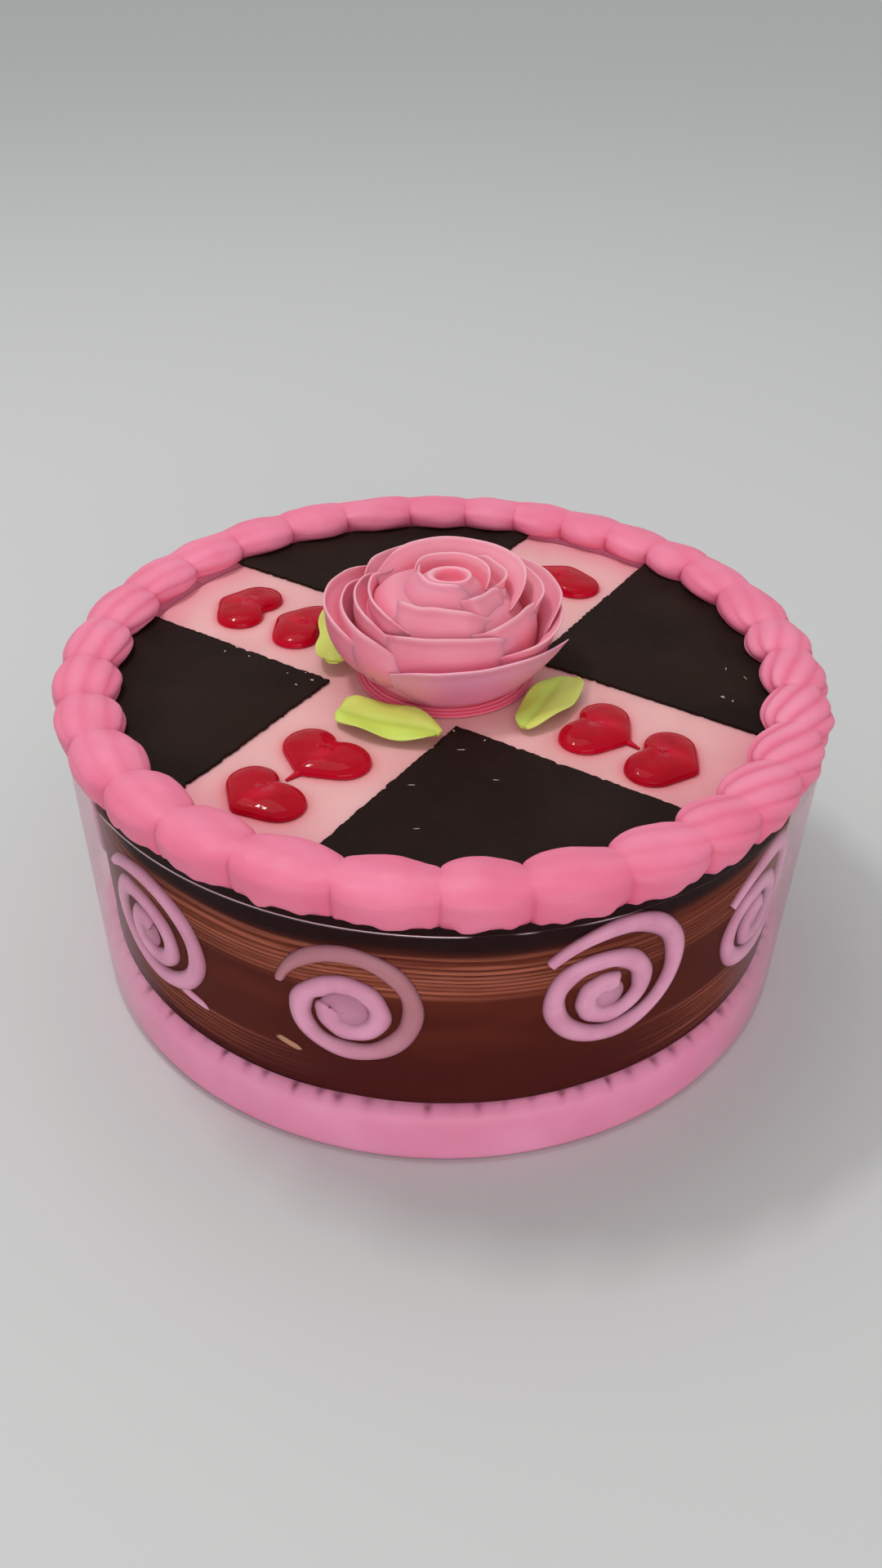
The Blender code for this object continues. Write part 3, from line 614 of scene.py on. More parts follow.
def side_chocolate():
    recipe = Recipe("side_chocolate")
    haze = recipe.speckle(30, 3.0, 0.5, stretch=(0.6, 0.6, 2.2))
    streak = recipe.speckle(300, 4.0, 0.65, stretch=(0.03, 0.03, 1.0))
    wide = recipe.speckle(90, 2.0, 0.5, stretch=(0.05, 0.05, 1.0))
    press, bloom = recipe.mark("press"), recipe.mark("bloom")
    colour = recipe.mix(recipe.step(haze, 0.35, 0.7), paint(76, 24, 13), paint(92, 36, 22))
    # Darker towards the foot
    colour = recipe.mix(recipe.mark("low") * 0.8, colour, paint(66, 16, 12))
    # Painted sheen: paler browns where the comb pressed and along its ribs
    colour = recipe.mix(recipe.step(wide, 0.4, 0.75) * press * 0.6, colour, paint(144, 74, 54))
    colour = recipe.mix(bloom * recipe.step(streak, 0.3, 0.62) * 0.9, colour, paint(186, 108, 84))
    # Painted shade in the comb lines at the foot
    colour = recipe.mix(recipe.mark("groove") * 0.5, colour, paint(50, 14, 16))
    # Painted shadow of the shells, nearly black
    colour = recipe.mix(recipe.mark("shade") * 0.94, colour, paint(22, 5, 7))
    roughness = 0.5 + recipe.step(haze, 0.3, 0.7) * 0.1 + press * 0.06
    relief = recipe.bump(streak * press + wide * 0.2, 0.00012)
    return recipe.serve(Base_Color=colour, Roughness=roughness, Normal=relief, Specular_IOR_Level=0.08)


piece("chocolate_side", [chocolate_side()], side_chocolate(), ["chocolate_band"],
      flip=True)

# %% [markdown]
# ## Swirls of lilac cream
# Each swirl is one line from a round nozzle, pressed flat against the chocolate: wound inwards clockwise
# from an outer tip, with a blob where the hand stopped. The line follows a few named stops of a spiral,
# joined and then rounded off. Inside the last turn the cream closed up, so a low dome fills the middle.
# The first swirl was piped looser, and its thin first turn lets the chocolate shine through, so it carries
# a mark for that.

# %% The spirals' stops, and the arm that follows them
# Each stop: turns made so far, reach from the middle, and how far that middle has moved right and up, in mm
TIGHT = ((0.00, 24.5, 0.0, 0.0), (0.10, 21.5, 0.0, 0.0), (0.75, 20.8, 0.0, 0.0), (1.13, 14.2, -3.0, -4.5),
         (1.45, 12.3, -3.0, -4.4), (1.65, 8.4, -3.0, -4.4), (1.85, 6.2, -3.0, -4.4),
         (2.05, 5.1, -3.0, -4.6), (2.28, 4.6, -3.0, -4.8))
LOOSE = ((0.00, 20.4, 0.0, 0.0), (0.10, 19.2, 0.0, 0.0), (0.63, 20.2, 0.0, 0.0), (0.81, 18.3, 0.0, 0.0),
         (0.95, 13.5, -0.3, -1.5), (1.09, 10.5, -0.5, -3.2), (1.48, 10.8, -0.5, -3.2),
         (1.67, 8.2, -0.5, -3.2), (1.89, 5.0, -0.5, -3.2), (2.03, 4.0, -0.5, -3.2))
# Each swirl: turn round the cake in degrees, height in mm, and its shares of the usual width and height
SWIRLS = ((-103.0, 61.0, 1.00, 1.00), (-65.0, 64.5, 1.00, 1.00), (-33.0, 58.5, 1.00, 0.92),
          (3.5, 60.5, 0.97, 0.98), (39.5, 62.0, 1.02, 0.96), (75.5, 60.0, 0.98, 1.00),
          (112.0, 62.5, 1.00, 0.95), (148.0, 60.0, 0.96, 0.97), (185.0, 59.0, 1.00, 0.93),
          (222.0, 57.0, 1.04, 0.9))
ARM_HALF = 3.45 * MM


def soften(values, times):
    """Rounds the corners of a line by averaging each point with its neighbours."""
    for _ in range(times):
        values[1:-1] = (values[:-2] + 2 * values[1:-1] + values[2:]) / 4
    return values


def swirl_part(number):
    middle, height, wide, high = SWIRLS[number]
    stops, tip = (LOOSE, 168) if number == 0 else (TIGHT, 150)
    turns_made, reach, right, up = np.array(stops).T
    share = np.linspace(0, 1, 260)
    made = share * turns_made[-1]
    angle = np.radians(tip - 360 * made)
    out = np.interp(made, turns_made, reach)
    centre = np.stack([(out * np.cos(angle) + np.interp(made, turns_made, right)) * wide,
                       (out * np.sin(angle) + np.interp(made, turns_made, up)) * high], -1)
    centre = soften(centre, 14) * MM
    along = np.gradient(centre, axis=0)
    along /= np.linalg.norm(along, axis=1)[:, None]
    normal = np.stack([-along[:, 1], along[:, 0]], -1)
    taper = np.minimum(1.0, 0.5 + 7 * share) * (1 + 0.2 * smooth(0.74, 0.97, share))
    arm = ARM_HALF * taper * (1 + 0.07 * wander(made * 2 * math.pi, (3, 5, 8), number + 50))
    arm = arm * np.sqrt(1 - 0.97 * np.clip((share - 0.975) / 0.025, 0, 1) ** 2)
    if number == 0:
        arm = arm * (1 - 0.12 * smooth(0.35, 0.2, share))
    across = np.linspace(-1, 1, 17)
    dome = (1 - np.abs(across) ** 2.6) ** 0.8
    place = centre[:, None] + normal[:, None] * (arm[:, None] * across)[..., None]
    level = height * MM + place[..., 1]
    lift = 1.35 * MM * dome * (0.85 + 0.15 * taper[:, None]) + 0.1 * MM * np.sin(across * 7) * dome
    turn = math.radians(middle) + place[..., 0] / (RIM - CHOCOLATE_IN)
    outer = around_axis(turn, chocolate_face(level) + 0.22 * MM + lift, level)
    inner = around_axis(turn, chocolate_face(level) - 0.3 * MM, level)[:, ::-1]
    points = np.concatenate([outer, inner], 1)
    # The edge mark paints shade along the arm's sides
    edge = np.broadcast_to(np.abs(across) ** 3, place.shape[:-1])
    thin = np.zeros(place.shape[:-1])
    if number == 0:
        thin = np.broadcast_to(smooth(0.46, 0.2, share)[:, None], place.shape[:-1])
    return grid(points, False, True, edge=np.concatenate([edge, edge], 1),
                thin=np.concatenate([thin, thin], 1))


def middle_part(number):
    """The cream that closed up inside the last turn of a swirl, lower than the arm round it."""
    middle, height, wide, high = SWIRLS[number]
    right, up = (LOOSE if number == 0 else TIGHT)[-1][2:]
    reach = 7.4 if number == 0 else 6.0
    share = np.array([0.02, 0.2, 0.4, 0.6, 0.8, 1.0, 1.0])[:, None]
    around = np.linspace(0, 2 * math.pi, 48, endpoint=False)
    aside = (right + reach * share * np.cos(around)) * wide * MM
    level = (height + (up + reach * share * np.sin(around)) * high) * MM
    lift = np.array([0.95, 0.93, 0.86, 0.74, 0.58, 0.4, -0.5])[:, None] * MM
    turn = math.radians(middle) + aside / (RIM - CHOCOLATE_IN)
    points = around_axis(turn, chocolate_face(level) + lift, level)
    # The edge mark paints shade over the middle dome, deepest at its rim, as the crease inside the last turn
    part = grid(points, False, True, edge=0.35 + 0.45 * share, thin=0.0)
    part["faces"].append(list(range(len(around)))[::-1])
    return part


# %% Finish and pieces of the swirls
def lilac_cream():
    recipe = Recipe("lilac_cream")
    patches = recipe.speckle(70, 2.0)
    fine = recipe.speckle(900, 3.0, 0.6)
    colour = recipe.mix(recipe.step(patches, 0.35, 0.7), paint(228, 160, 190), paint(214, 142, 172))
    colour = recipe.mix(recipe.mark("thin") * 0.75, colour, paint(164, 104, 100))
    # Painted shade at the arms' sides and in the middle
    colour = recipe.mix(recipe.mark("edge") * 0.75, colour, paint(130, 74, 92))
    return recipe.serve(Base_Color=colour, Roughness=0.45 + fine * 0.12, Normal=recipe.bump(fine, 0.00005),
                        Subsurface_Weight=0.15, Subsurface_Radius=(1.0, 0.5, 0.5), Subsurface_Scale=0.002)


lilac = lilac_cream()
for number in range(len(SWIRLS)):
    piece(f"swirl_{number + 1:02d}", [swirl_part(number), middle_part(number)], lilac,
          [f"side_swirl_{number + 1:02d}"])

# %% [markdown]
# ## Clear film
# A strip of clear film is wrapped round the side to keep it tidy. It is almost invisible face on, and
# bright where the eye meets it edge on, because it mirrors the room; its mirror is tinted pink as a painted
# reflection of the cream. Real glass would need many light bounces for nothing, so the film is a mix of a
# see-through shader and a mirror shader. A Layer Weight node gives the mirror more share where the film is
# seen edge on, and a mark on its top edge lets that edge catch the light here and there.

# %% Wrap the film
def film_wrap():
    turns = ring_of_turns(360)
    heights = np.concatenate([[0.5, 0.7, 2], np.linspace(6, 90, 22), [93, 94.6, 95.1, 95.3]]) * MM
    wave = 0.06 * MM * wander(turns, (6, 11, 17), 61)[:, None]
    outer = side(heights) - 0.07 * MM + wave
    inner = side(heights) - 0.38 * MM + wave
    ring = np.concatenate([outer, inner[:, ::-1]], 1)
    level = np.concatenate([heights, heights[::-1]])
    points = around_axis(turns[:, None], ring, level)
    return grid(points, True, True, lip=smooth(95.0 * MM, 95.3 * MM, level))


def clear_film():
    recipe = Recipe("clear_film")
    edge_on = recipe.add("ShaderNodeLayerWeight", None, {"Blend": 0.5}, out="Facing")
    smears = recipe.speckle(40, 3.0, 0.5, stretch=(0.5, 0.5, 1.0))
    clear = recipe.add("ShaderNodeBsdfTransparent", None, {"Color": (1.0, 0.99, 0.992, 1.0)})
    lip = recipe.mark("lip")
    mirror = recipe.add("ShaderNodeBsdfPrincipled", None, {
        # The mirror is tinted pink: a painted reflection of the cream
        "Base Color": recipe.mix(lip, paint(240, 200, 214), paint(252, 252, 252)),
        "Roughness": recipe.step(smears, 0.3, 0.7, 0.16, 0.3), "Metallic": 1.0})
    share = recipe.step(edge_on, 0.62, 0.95, 0.002, 0.42) + lip * recipe.step(smears, 0.5, 0.58) * 0.9
    recipe.add_output(recipe.add("ShaderNodeMixShader", None, {0: share, 1: clear, 2: mirror}))
    return recipe.finish


piece("film_wrap", [film_wrap()], clear_film(), ["clear_film"])

# %% [markdown]
# ## Chocolate wedges
# Four thin plates of dark chocolate fill the corners of the cream cross. They were cut while soft, so the
# straight edges are ragged with tiny nicks, and the round edge hides under the shells. A Boolean cut would
# leave clean edges, so each plate starts as an outline that wanders and nicks along its cut edges. It then
# goes up in three steps so that the top edge catches a little light.

# %% Outline of a wedge
CROSS = np.array([-4.1, -0.8]) * MM
CROSS_HALF = 24.5 * MM
CROSS_TURN = 58
WEDGE_REACH = 109.5 * MM


def wedge_outline(number):
    """Points round a wedge: out along one cut edge, round the rim and back along the other cut edge."""
    middle = math.radians(CROSS_TURN - 45 + 90 * number)
    apex = CROSS + CROSS_HALF * math.sqrt(2) * np.array([math.cos(middle), math.sin(middle)])
    draw = random.Random(80 + number)
    edges = []
    for turn in (-45, 45):
        way = middle + math.radians(turn)
        ahead = np.array([math.cos(way), math.sin(way)])
        half = -apex @ ahead
        length = half + math.sqrt(half * half - apex @ apex + WEDGE_REACH ** 2)
        steps = int(length / (0.45 * MM))
        share = np.linspace(0, 1, steps)
        walked = (share * length).tolist()
        rag = np.array([noise.noise((at / (1.6 * MM), number * 9.1, turn)) * 0.35 +
                        noise.noise((at / (5.0 * MM), number * 4.7, turn)) * 0.45 for at in walked]) * MM
        for _ in range(9):
            at, half_width = draw.uniform(0.02, 0.98), draw.uniform(0.4, 0.9) * MM
            rag += draw.uniform(-0.9, 0.5) * MM * np.exp(-((share - at) * length / half_width) ** 2)
        aside = np.array([-ahead[1], ahead[0]]) * (1 if turn > 0 else -1)
        rag *= smooth(0, 0.03, share)
        edges.append(apex + ahead * (share * length)[:, None] + aside * rag[:, None])
    start = math.atan2(*edges[0][-1][::-1])
    sweep = (math.atan2(*edges[1][-1][::-1]) - start) % (2 * math.pi)
    rim = start + sweep * np.linspace(0, 1, 60)[1:-1]
    arc = np.stack([np.cos(rim), np.sin(rim)], -1) * WEDGE_REACH
    return np.concatenate([edges[0], arc, edges[1][:0:-1]])


# %% Plates from the outlines
def inset(line, amount):
    """The outline moved inwards by an amount."""
    ahead = np.roll(line, -1, 0) - np.roll(line, 1, 0)
    ahead /= np.linalg.norm(ahead, axis=1)[:, None]
    return line + np.stack([-ahead[:, 1], ahead[:, 0]], -1) * amount


def plate_part(line, low, high):
    """A closed plate with a soft upper edge."""
    levels = ((0.0, low), (0.0, high - 0.28 * MM), (0.14 * MM, high - 0.07 * MM), (0.34 * MM, high))
    rings = [np.column_stack([inset(line, amount), np.full(len(line), level)]) for amount, level in levels]
    part = grid(np.stack(rings), False, True)
    part["faces"] = [face[::-1] for face in part["faces"]]
    return capped(part)


def dark_chocolate():
    recipe = Recipe("dark_chocolate")
    cloud = recipe.speckle(26, 3.0, 0.5)
    grit = recipe.speckle(520, 4.0, 0.62)
    pores = recipe.speckle(1500, 2.0, 0.5)
    colour = recipe.mix(recipe.step(cloud, 0.35, 0.68), paint(32, 21, 18), paint(40, 27, 22))
    colour = recipe.mix(recipe.step(grit, 0.55, 0.8) * 0.5, colour, paint(56, 40, 34))
    return recipe.serve(Base_Color=colour, Roughness=0.5 + recipe.step(grit, 0.3, 0.7) * 0.14,
                        Normal=recipe.bump(grit + pores * 0.4, 0.00016), Specular_IOR_Level=0.04)


cocoa = dark_chocolate()
for number, way in enumerate(("east", "north", "west", "south")):
    part = plate_part(wedge_outline(number), CREAM_TOP + 0.25 * MM, CREAM_TOP + 1.3 * MM)
    plate = piece(f"wedge_{way}", [part], cocoa, [f"chocolate_wedge_{number + 1}"])
    plate.data.set_sharp_from_angle(angle=math.radians(50))

# %% [markdown]
# ## Rose
# A cream rose is piped petal by petal with a flat nozzle round a cone: an open bud in the middle, then
# longer and lower petals that overlap. Each petal is a thin curved sheet whose rim rolls outwards and
# whose two ends tuck in behind its neighbours. Sculpting would give one rose that nobody could adjust, so
# each sheet has a few measures instead: where the middle of the petal points, how far it spreads, and how
# wide and high its rim stands at the middle and at both ends.

# %% The petals' measures
# Each petal: middle and half spread in degrees, rim radius at the middle and both ends, rim height at the
# middle and both ends, then radius and height of its foot, all in mm
PETALS = (
    (-125, 92, 6.6, 12.0, 7.2, 36.2, 36.8, 35.2, 17.0, 26),
    (75, 88, 14.3, 14.0, 12.0, 36.2, 34.2, 35.2, 11.0, 26),
    (28, 42, 19.0, 14.8, 22.0, 34.8, 34.0, 34.8, 15.0, 22),
    (-35, 36, 14.0, 13.0, 20.5, 34.2, 33.8, 33.0, 20.0, 22),
    (-102, 58, 16.7, 20.2, 22.0, 32.8, 32.2, 30.4, 26.0, 18),
    (-170, 50, 24.0, 26.0, 25.6, 31.2, 33.0, 27.9, 23.0, 18),
    (70, 90, 26.5, 24.5, 28.0, 36.0, 30.3, 33.0, 17.0, 20),
    (-30, 40, 25.5, 25.0, 34.0, 29.3, 28.0, 26.6, 29.0, 13),
    (-88, 54, 26.0, 29.3, 30.5, 27.3, 26.2, 25.2, 29.5, 12),
    (-176, 46, 28.6, 27.5, 29.5, 29.4, 32.2, 25.6, 24.0, 15),
    (22, 40, 30.5, 30.0, 31.0, 30.5, 28.0, 33.0, 24.0, 15),
    (-168, 50, 33.0, 33.0, 33.0, 26.8, 30.5, 22.0, 27.5, 6),
    (110, 52, 32.0, 31.5, 32.0, 31.5, 31.0, 31.0, 24.0, 14),
    (-15, 42, 36.5, 31.5, 38.0, 24.0, 22.6, 26.5, 28.0, 8),
    (-70, 52, 34.2, 36.5, 40.5, 20.7, 19.0, 20.5, 26.5, 4),
    (178, 48, 38.5, 35.0, 36.0, 27.5, 30.3, 19.5, 26.0, 5),
    (30, 46, 36.8, 37.0, 34.5, 28.5, 25.0, 30.0, 26.0, 5),
    (92, 50, 36.5, 35.5, 36.5, 27.5, 28.5, 28.5, 26.0, 5),
)


# Petals that bulge more than the others, how much more or less than usual a petal tucks in at its two ends,
# and how much cream of its own backs a petal from behind
BULGES = {9: 2.4, 11: 3.8, 15: 3.8}
SINKS = {0: (0.4, 0.3), 1: (0.5, 0.5), 2: (0.7, 0.7), 3: (0.7, 0.7), 11: (1.0, 1.6), 14: (1.3, 0.0),
         15: (1.0, 1.6)}
BACKS = {6: 2.0, 9: 2.5, 10: 2.0, 11: 3.6, 12: 2.0, 13: 2.0, 15: 5.0, 16: 3.0, 17: 3.0}
# The front petal gets a painted mauve shade, and the left petals less painted crease shade
FRONT_PETAL = 14
LEFT_PETALS = (11, 15)


# %% One petal as a thin sheet with a rolled rim
def petal_part(number):
    middle, spread, rim, rim_first, rim_last, high, high_first, high_last, foot, foot_high = PETALS[number]
    across = np.linspace(-1, 1, 61)[:, None]
    up = np.linspace(0, 1, 20)
    ends = across ** 2
    rim_here = rim + (rim_first + (rim_last - rim_first) * (across + 1) / 2 - rim) * ends
    high_here = high + (high_first + (high_last - high_first) * (across + 1) / 2 - high) * ends
    ripple = 0.45 * np.interp(across, np.linspace(-1, 1, 9), np.array(
        [random.Random(number * 31 + k).uniform(-1, 1) for k in range(9)]))
    high_here = high_here + soften(ripple, 6)
    first, last = SINKS.get(number, (1.0, 1.0))
    sink = first * smooth(0.5, 1.0, -across) + last * smooth(0.5, 1.0, across)
    radius = foot + (rim_here - foot) * up ** 0.75 + 0.9 * smooth(0.78, 1.0, up) * (1 - 0.6 * ends)
    radius = radius + BULGES.get(number, 0.8) * np.sin(math.pi * up) - 3.2 * sink * (0.5 + 0.5 * up)
    height = foot_high + (high_here - foot_high) * up - 0.25 * smooth(0.93, 1.0, up) - 2.6 * sink * up
    thick = (2.0 - 1.15 * smooth(0.1, 1.0, up)) * (1 - 0.6 * np.abs(across) ** 4)
    slope_r, slope_z = np.gradient(radius, axis=1), np.gradient(height, axis=1)
    steep = np.hypot(slope_r, slope_z)
    out_r, out_z = slope_z / steep, -slope_r / steep
    face_r, face_z = radius + out_r * thick / 2, height + out_z * thick / 2
    padded = thick / 2 + BACKS.get(number, 0.0) * smooth(0.97, 0.6, up) * (1 - across ** 4)
    back_r, back_z = radius - out_r * padded, height - out_z * padded
    roll = np.linspace(0, math.pi, 7)[1:-1]
    end_r, end_z, half = out_r[:, -1:], out_z[:, -1:], thick[:, -1:] / 2
    tip_r = radius[:, -1:] + (end_r * np.cos(roll) - end_z * np.sin(roll)) * half
    tip_z = height[:, -1:] + (end_z * np.cos(roll) + end_r * np.sin(roll)) * half
    ring_r = np.concatenate([face_r, tip_r, back_r[:, ::-1]], 1) * MM
    ring_z = np.concatenate([face_z, tip_z, back_z[:, ::-1]], 1) * MM
    turn = np.radians(middle + spread * across)
    level = np.concatenate([up, np.ones(len(roll)), up[::-1]])
    back = np.concatenate([np.zeros(len(up)), np.full(len(roll), 0.3), np.ones(len(up))])
    # Painted shade, deeper low down on a petal and on its back face
    deep = smooth(0.85, 0.3, level) * (0.55 + 0.45 * back) * (0.35 if number in LEFT_PETALS else 1.0)
    # The rim mark sets a painted highlight along the top of each petal
    return capped(grid(around_axis(turn, ring_r, CREAM_TOP + ring_z), False, True,
                       rim=level - 0.3 * smooth(0.6, 1.0, np.abs(across)), deep=deep,
                       mauve=1.0 if number == FRONT_PETAL else 0.0))


def bud_part():
    """The cone under the petals, with the small round opening of the bud."""
    opening = [(0.05, 31.8), (2.0, 31.8), (3.2, 32.4), (4.0, 33.6), (4.5, 35.0), (5.0, 35.8), (5.7, 36.2),
               (6.3, 36.1), (6.8, 35.5)]
    cone = [(7.6, 34.5), (8.8, 33.3), (10.6, 31.4), (12.5, 29.6), (17.0, 27.2), (20.5, 25.2), (23.5, 22.0),
            (26.0, 19.0), (28.0, 16.0), (28.9, 13.0), (29.2, 10.0), (28.6, 6.5), (27.5, 3.0), (15, 3.0),
            (0.05, 3.0)]
    turns = ring_of_turns(120)
    squash = 1 + 0.10 * np.cos(2 * turns)[:, None]
    radius, height = np.array(opening + cone).T * MM
    radius = radius * np.where(height > 30 * MM, squash, 1.0)
    aside = 1.1 * MM * smooth(9 * MM, 6 * MM, radius) * smooth(30 * MM, 31 * MM, height)
    degrees = np.degrees(turns)[:, None]
    fill = 2.6 + 3.2 * near(degrees, 178, 50) - 2.6 * near(degrees, -90, 55)
    height = height + fill * MM * smooth(11.5 * MM, 17 * MM, radius) * smooth(29.5 * MM, 26 * MM, radius)
    points = around_axis(turns[:, None], radius, CREAM_TOP + height)
    points[..., 0] += aside
    points[..., 1] -= 0.3 * aside
    # Painted shade in the bud's opening and on the lower cone, and a painted highlight along its rim
    hole = smooth(5.2 * MM, 4.2 * MM, radius) * smooth(31 * MM, 31.6 * MM, height)
    part = grid(points, True, False, rim=smooth(34.6 * MM, 36.0 * MM, height),
                deep=np.maximum(hole, 0.45 * smooth(33 * MM, 29 * MM, height)))
    part["faces"] = [face[::-1] for face in part["faces"]]
    return part


# %% Finish of the rose, and the rose itself
def rose_cream():
    recipe = Recipe("rose_cream")
    patches = recipe.speckle(34, 2.0)
    fine = recipe.speckle(1000, 3.0, 0.6)
    lines = recipe.speckle(160, 2.0, 0.5, stretch=(1, 1, 0.25))
    colour = recipe.mix(recipe.step(patches, 0.3, 0.7), paint(232, 150, 166), paint(230, 134, 156))
    # Painted shade on the front petal and in the deep parts, then a painted highlight on the rims
    colour = recipe.mix(recipe.mark("mauve") * 0.8, colour, paint(226, 156, 188))
    colour = recipe.mix(recipe.mark("deep") * 0.7, colour, paint(238, 104, 132))
    colour = recipe.mix(recipe.step(recipe.mark("rim"), 0.9, 1.0) * 0.6, colour, paint(238, 176, 188))
    return recipe.serve(Base_Color=colour, Roughness=0.46 + fine * 0.1,
                        Normal=recipe.bump(lines + fine * 0.15, 0.00012), Subsurface_Weight=0.3,
                        Subsurface_Radius=(1.0, 0.35, 0.3), Subsurface_Scale=0.004, Specular_IOR_Level=0.35)


bloom_parts = [bud_part()] + [petal_part(number) for number in range(len(PETALS))]
piece("rose_bloom", bloom_parts, rose_cream(), ["rose"])

# %% [markdown]
# ## Pad under the rose
# The rose was set down on a pad of stronger pink cream, whose edge shows at the front with fine rings from
# the nozzle. A turned profile with a row of small ribs is the plain way to make it.

# %% Pad with its fine rings
def rose_pad():
    radii = np.concatenate([np.linspace(0.1, 22, 12), np.linspace(22.2, 28.6, 40)]) * MM
    outer = smooth(22 * MM, 24 * MM, radii)
    ribs = 0.28 * MM * (np.abs(np.sin(radii / (0.62 * MM) * math.pi / 2)) - 0.5) * outer
    heights = CREAM_TOP + 2.45 * MM - 1.3 * MM * smooth(25 * MM, 29 * MM, radii) + ribs
    rim = [(radius * MM, CREAM_TOP + height * MM)
           for radius, height in ((29.2, 0.85), (29.4, 0.5), (28.9, 0.3), (14.0, 0.3), (0.1, 0.3))]
    part = turned(list(zip(radii, heights)) + rim, ring_of_turns(240))
    # Painted shade in the furrows between the pad's rings
    furrow_shade = np.concatenate([smooth(0.05 * MM, -0.12 * MM, ribs) * outer, np.zeros(len(rim))])
    on_top = np.arange(len(furrow_shade)) < len(radii)
    part["points"][..., 2] += 0.12 * MM * lumps(part["points"], 7 * MM, 9) * on_top
    part["marks"] = {"groove": furrow_shade, "crest": 0.0}
    return part


pad_cream = piped_cream("pad_cream", paint(248, 150, 170), paint(240, 112, 138), paint(228, 66, 98),
                        patch=0.2)
piece("rose_pad", [rose_pad()], pad_cream, ["rose_mound"], flip=True)

# %% [markdown]
# ## Leaves
# The leaves come from a V-cut nozzle: a thin ribbon, wavy at the edges and thin there, with a soft fold
# that runs slantwise over it. A sheet with two faces keeps them as thin as they are, and the fold, the
# waves and the thin edge are part of the sheet.

# %% Pipe the leaves
# Each leaf: its foot and tip as x and y, half width, heights of foot and tip, depth of its waves, all in mm
LEAVES = {
    "leaf_front_left": ((-33, -28), (-1.5, -43), 9.5, (2.6, 3.2), 1.0),
    "leaf_front_right": ((41.5, -8), (24, -37), 7.5, (2.8, 2.6), 0.9),
    "leaf_back_left": ((-37.5, -4), (-37.5, 37), 6.8, (5.0, 6.2), 0.8),
    "leaf_back_right": ((35, 26), (10, 40), 7.0, (5.6, 5.8), 0.8),
}


def leaf_part(name):
    base, tip, half_width, lifts, wave = LEAVES[name]
    start, end = np.array(base, float), np.array(tip, float)
    ahead = end - start
    aside = np.array([-ahead[1], ahead[0]]) / np.linalg.norm(ahead)
    share = np.linspace(0, 1, 64)[:, None]
    sides = np.linspace(-1, 1, 33)
    waist = 1 - (0.22 * np.exp(-((share - 0.42) / 0.12) ** 2) if name == "leaf_back_left" else 0)
    width = half_width * (0.25 + 0.75 * np.sin(math.pi * np.minimum(1, 0.12 + 0.88 * share)) ** 0.7) * waist
    width = width * (0.55 + 0.45 * smooth(0, 0.07, share) ** 0.5)
    lift = lifts[0] + (lifts[1] - lifts[0]) * share
    lift = lift + wave * sides ** 2 * np.sin(9 * share + 1.6 * sides) + 0.7 * sides ** 2
    lift = lift - 0.45 * np.exp(-((sides + 0.35 - 0.5 * share) / 0.22) ** 2) * np.sin(math.pi * share)
    half = 0.62 * (1 - 0.75 * np.abs(sides) ** 4) * (1 - 0.5 * smooth(0.8, 1.0, share))
    flat = start + ahead * share[..., None] + aside * (sides * width)[..., None]
    top = np.concatenate([flat, (lift + half)[..., None]], -1)
    under = np.concatenate([flat, (lift - half)[..., None]], -1)[:, ::-1]
    points = np.concatenate([top, under], 1) * MM + np.array([0, 0, CREAM_TOP])
    edge = np.concatenate([np.abs(sides), np.abs(sides)])
    fold = np.exp(-((sides + 0.35 - 0.5 * share) / 0.18) ** 2)
    # The fold is darkened as painted shade
    crease = np.concatenate([fold, np.zeros_like(fold)], 1)
    upper = np.concatenate([smooth(-0.2, 0.4, sides - 0.5 * share + 0.35), np.zeros_like(fold)], 1)
    return capped(grid(points, False, True, edge=edge, crease=crease, upper=upper))


def leaf_cream():
    recipe = Recipe("leaf_cream")
    patches = recipe.speckle(60, 2.0)
    veins = recipe.speckle(260, 2.0, 0.5, stretch=(0.5, 0.5, 1))
    colour = recipe.mix(recipe.step(patches, 0.3, 0.7), paint(196, 218, 84), paint(190, 207, 82))
    colour = recipe.mix(recipe.mark("upper") * 0.7, colour, paint(204, 206, 98))
    # Painted shade in the fold
    colour = recipe.mix(recipe.mark("crease") * 0.3, colour, paint(156, 172, 66))
    colour = recipe.mix(recipe.step(recipe.mark("edge"), 0.8, 1.0) * 0.3, colour, paint(206, 220, 120))
    return recipe.serve(Base_Color=colour, Roughness=0.48 + veins * 0.08, Normal=recipe.bump(veins, 0.0001),
                        Subsurface_Weight=0.2, Subsurface_Radius=(0.6, 1.0, 0.2), Subsurface_Scale=0.003)


green = leaf_cream()
for name in LEAVES:
    piece(f"cream_{name}", [leaf_part(name)], green, [name])

# %% [markdown]
# ## Hearts of red gel
# Each heart is a drop of thick gel drawn out to a tip, so it stands up like a dome, steep at its rim and
# nearly flat on top. Wet gel is dark where it is thick and lighter at its thin rim, and it mirrors every
# lamp; a lighter band from the notch towards the tip is painted sheen. The dome is made of outlines that
# shrink as they rise, and a small tail is left where the nozzle was pulled away.

# %% Draw the hearts
HEART_STEPS = 120
TAILS = {"heart_front_left_inner": (-46.5, -64.5), "heart_front_right_inner": (60.0, -44.5)}


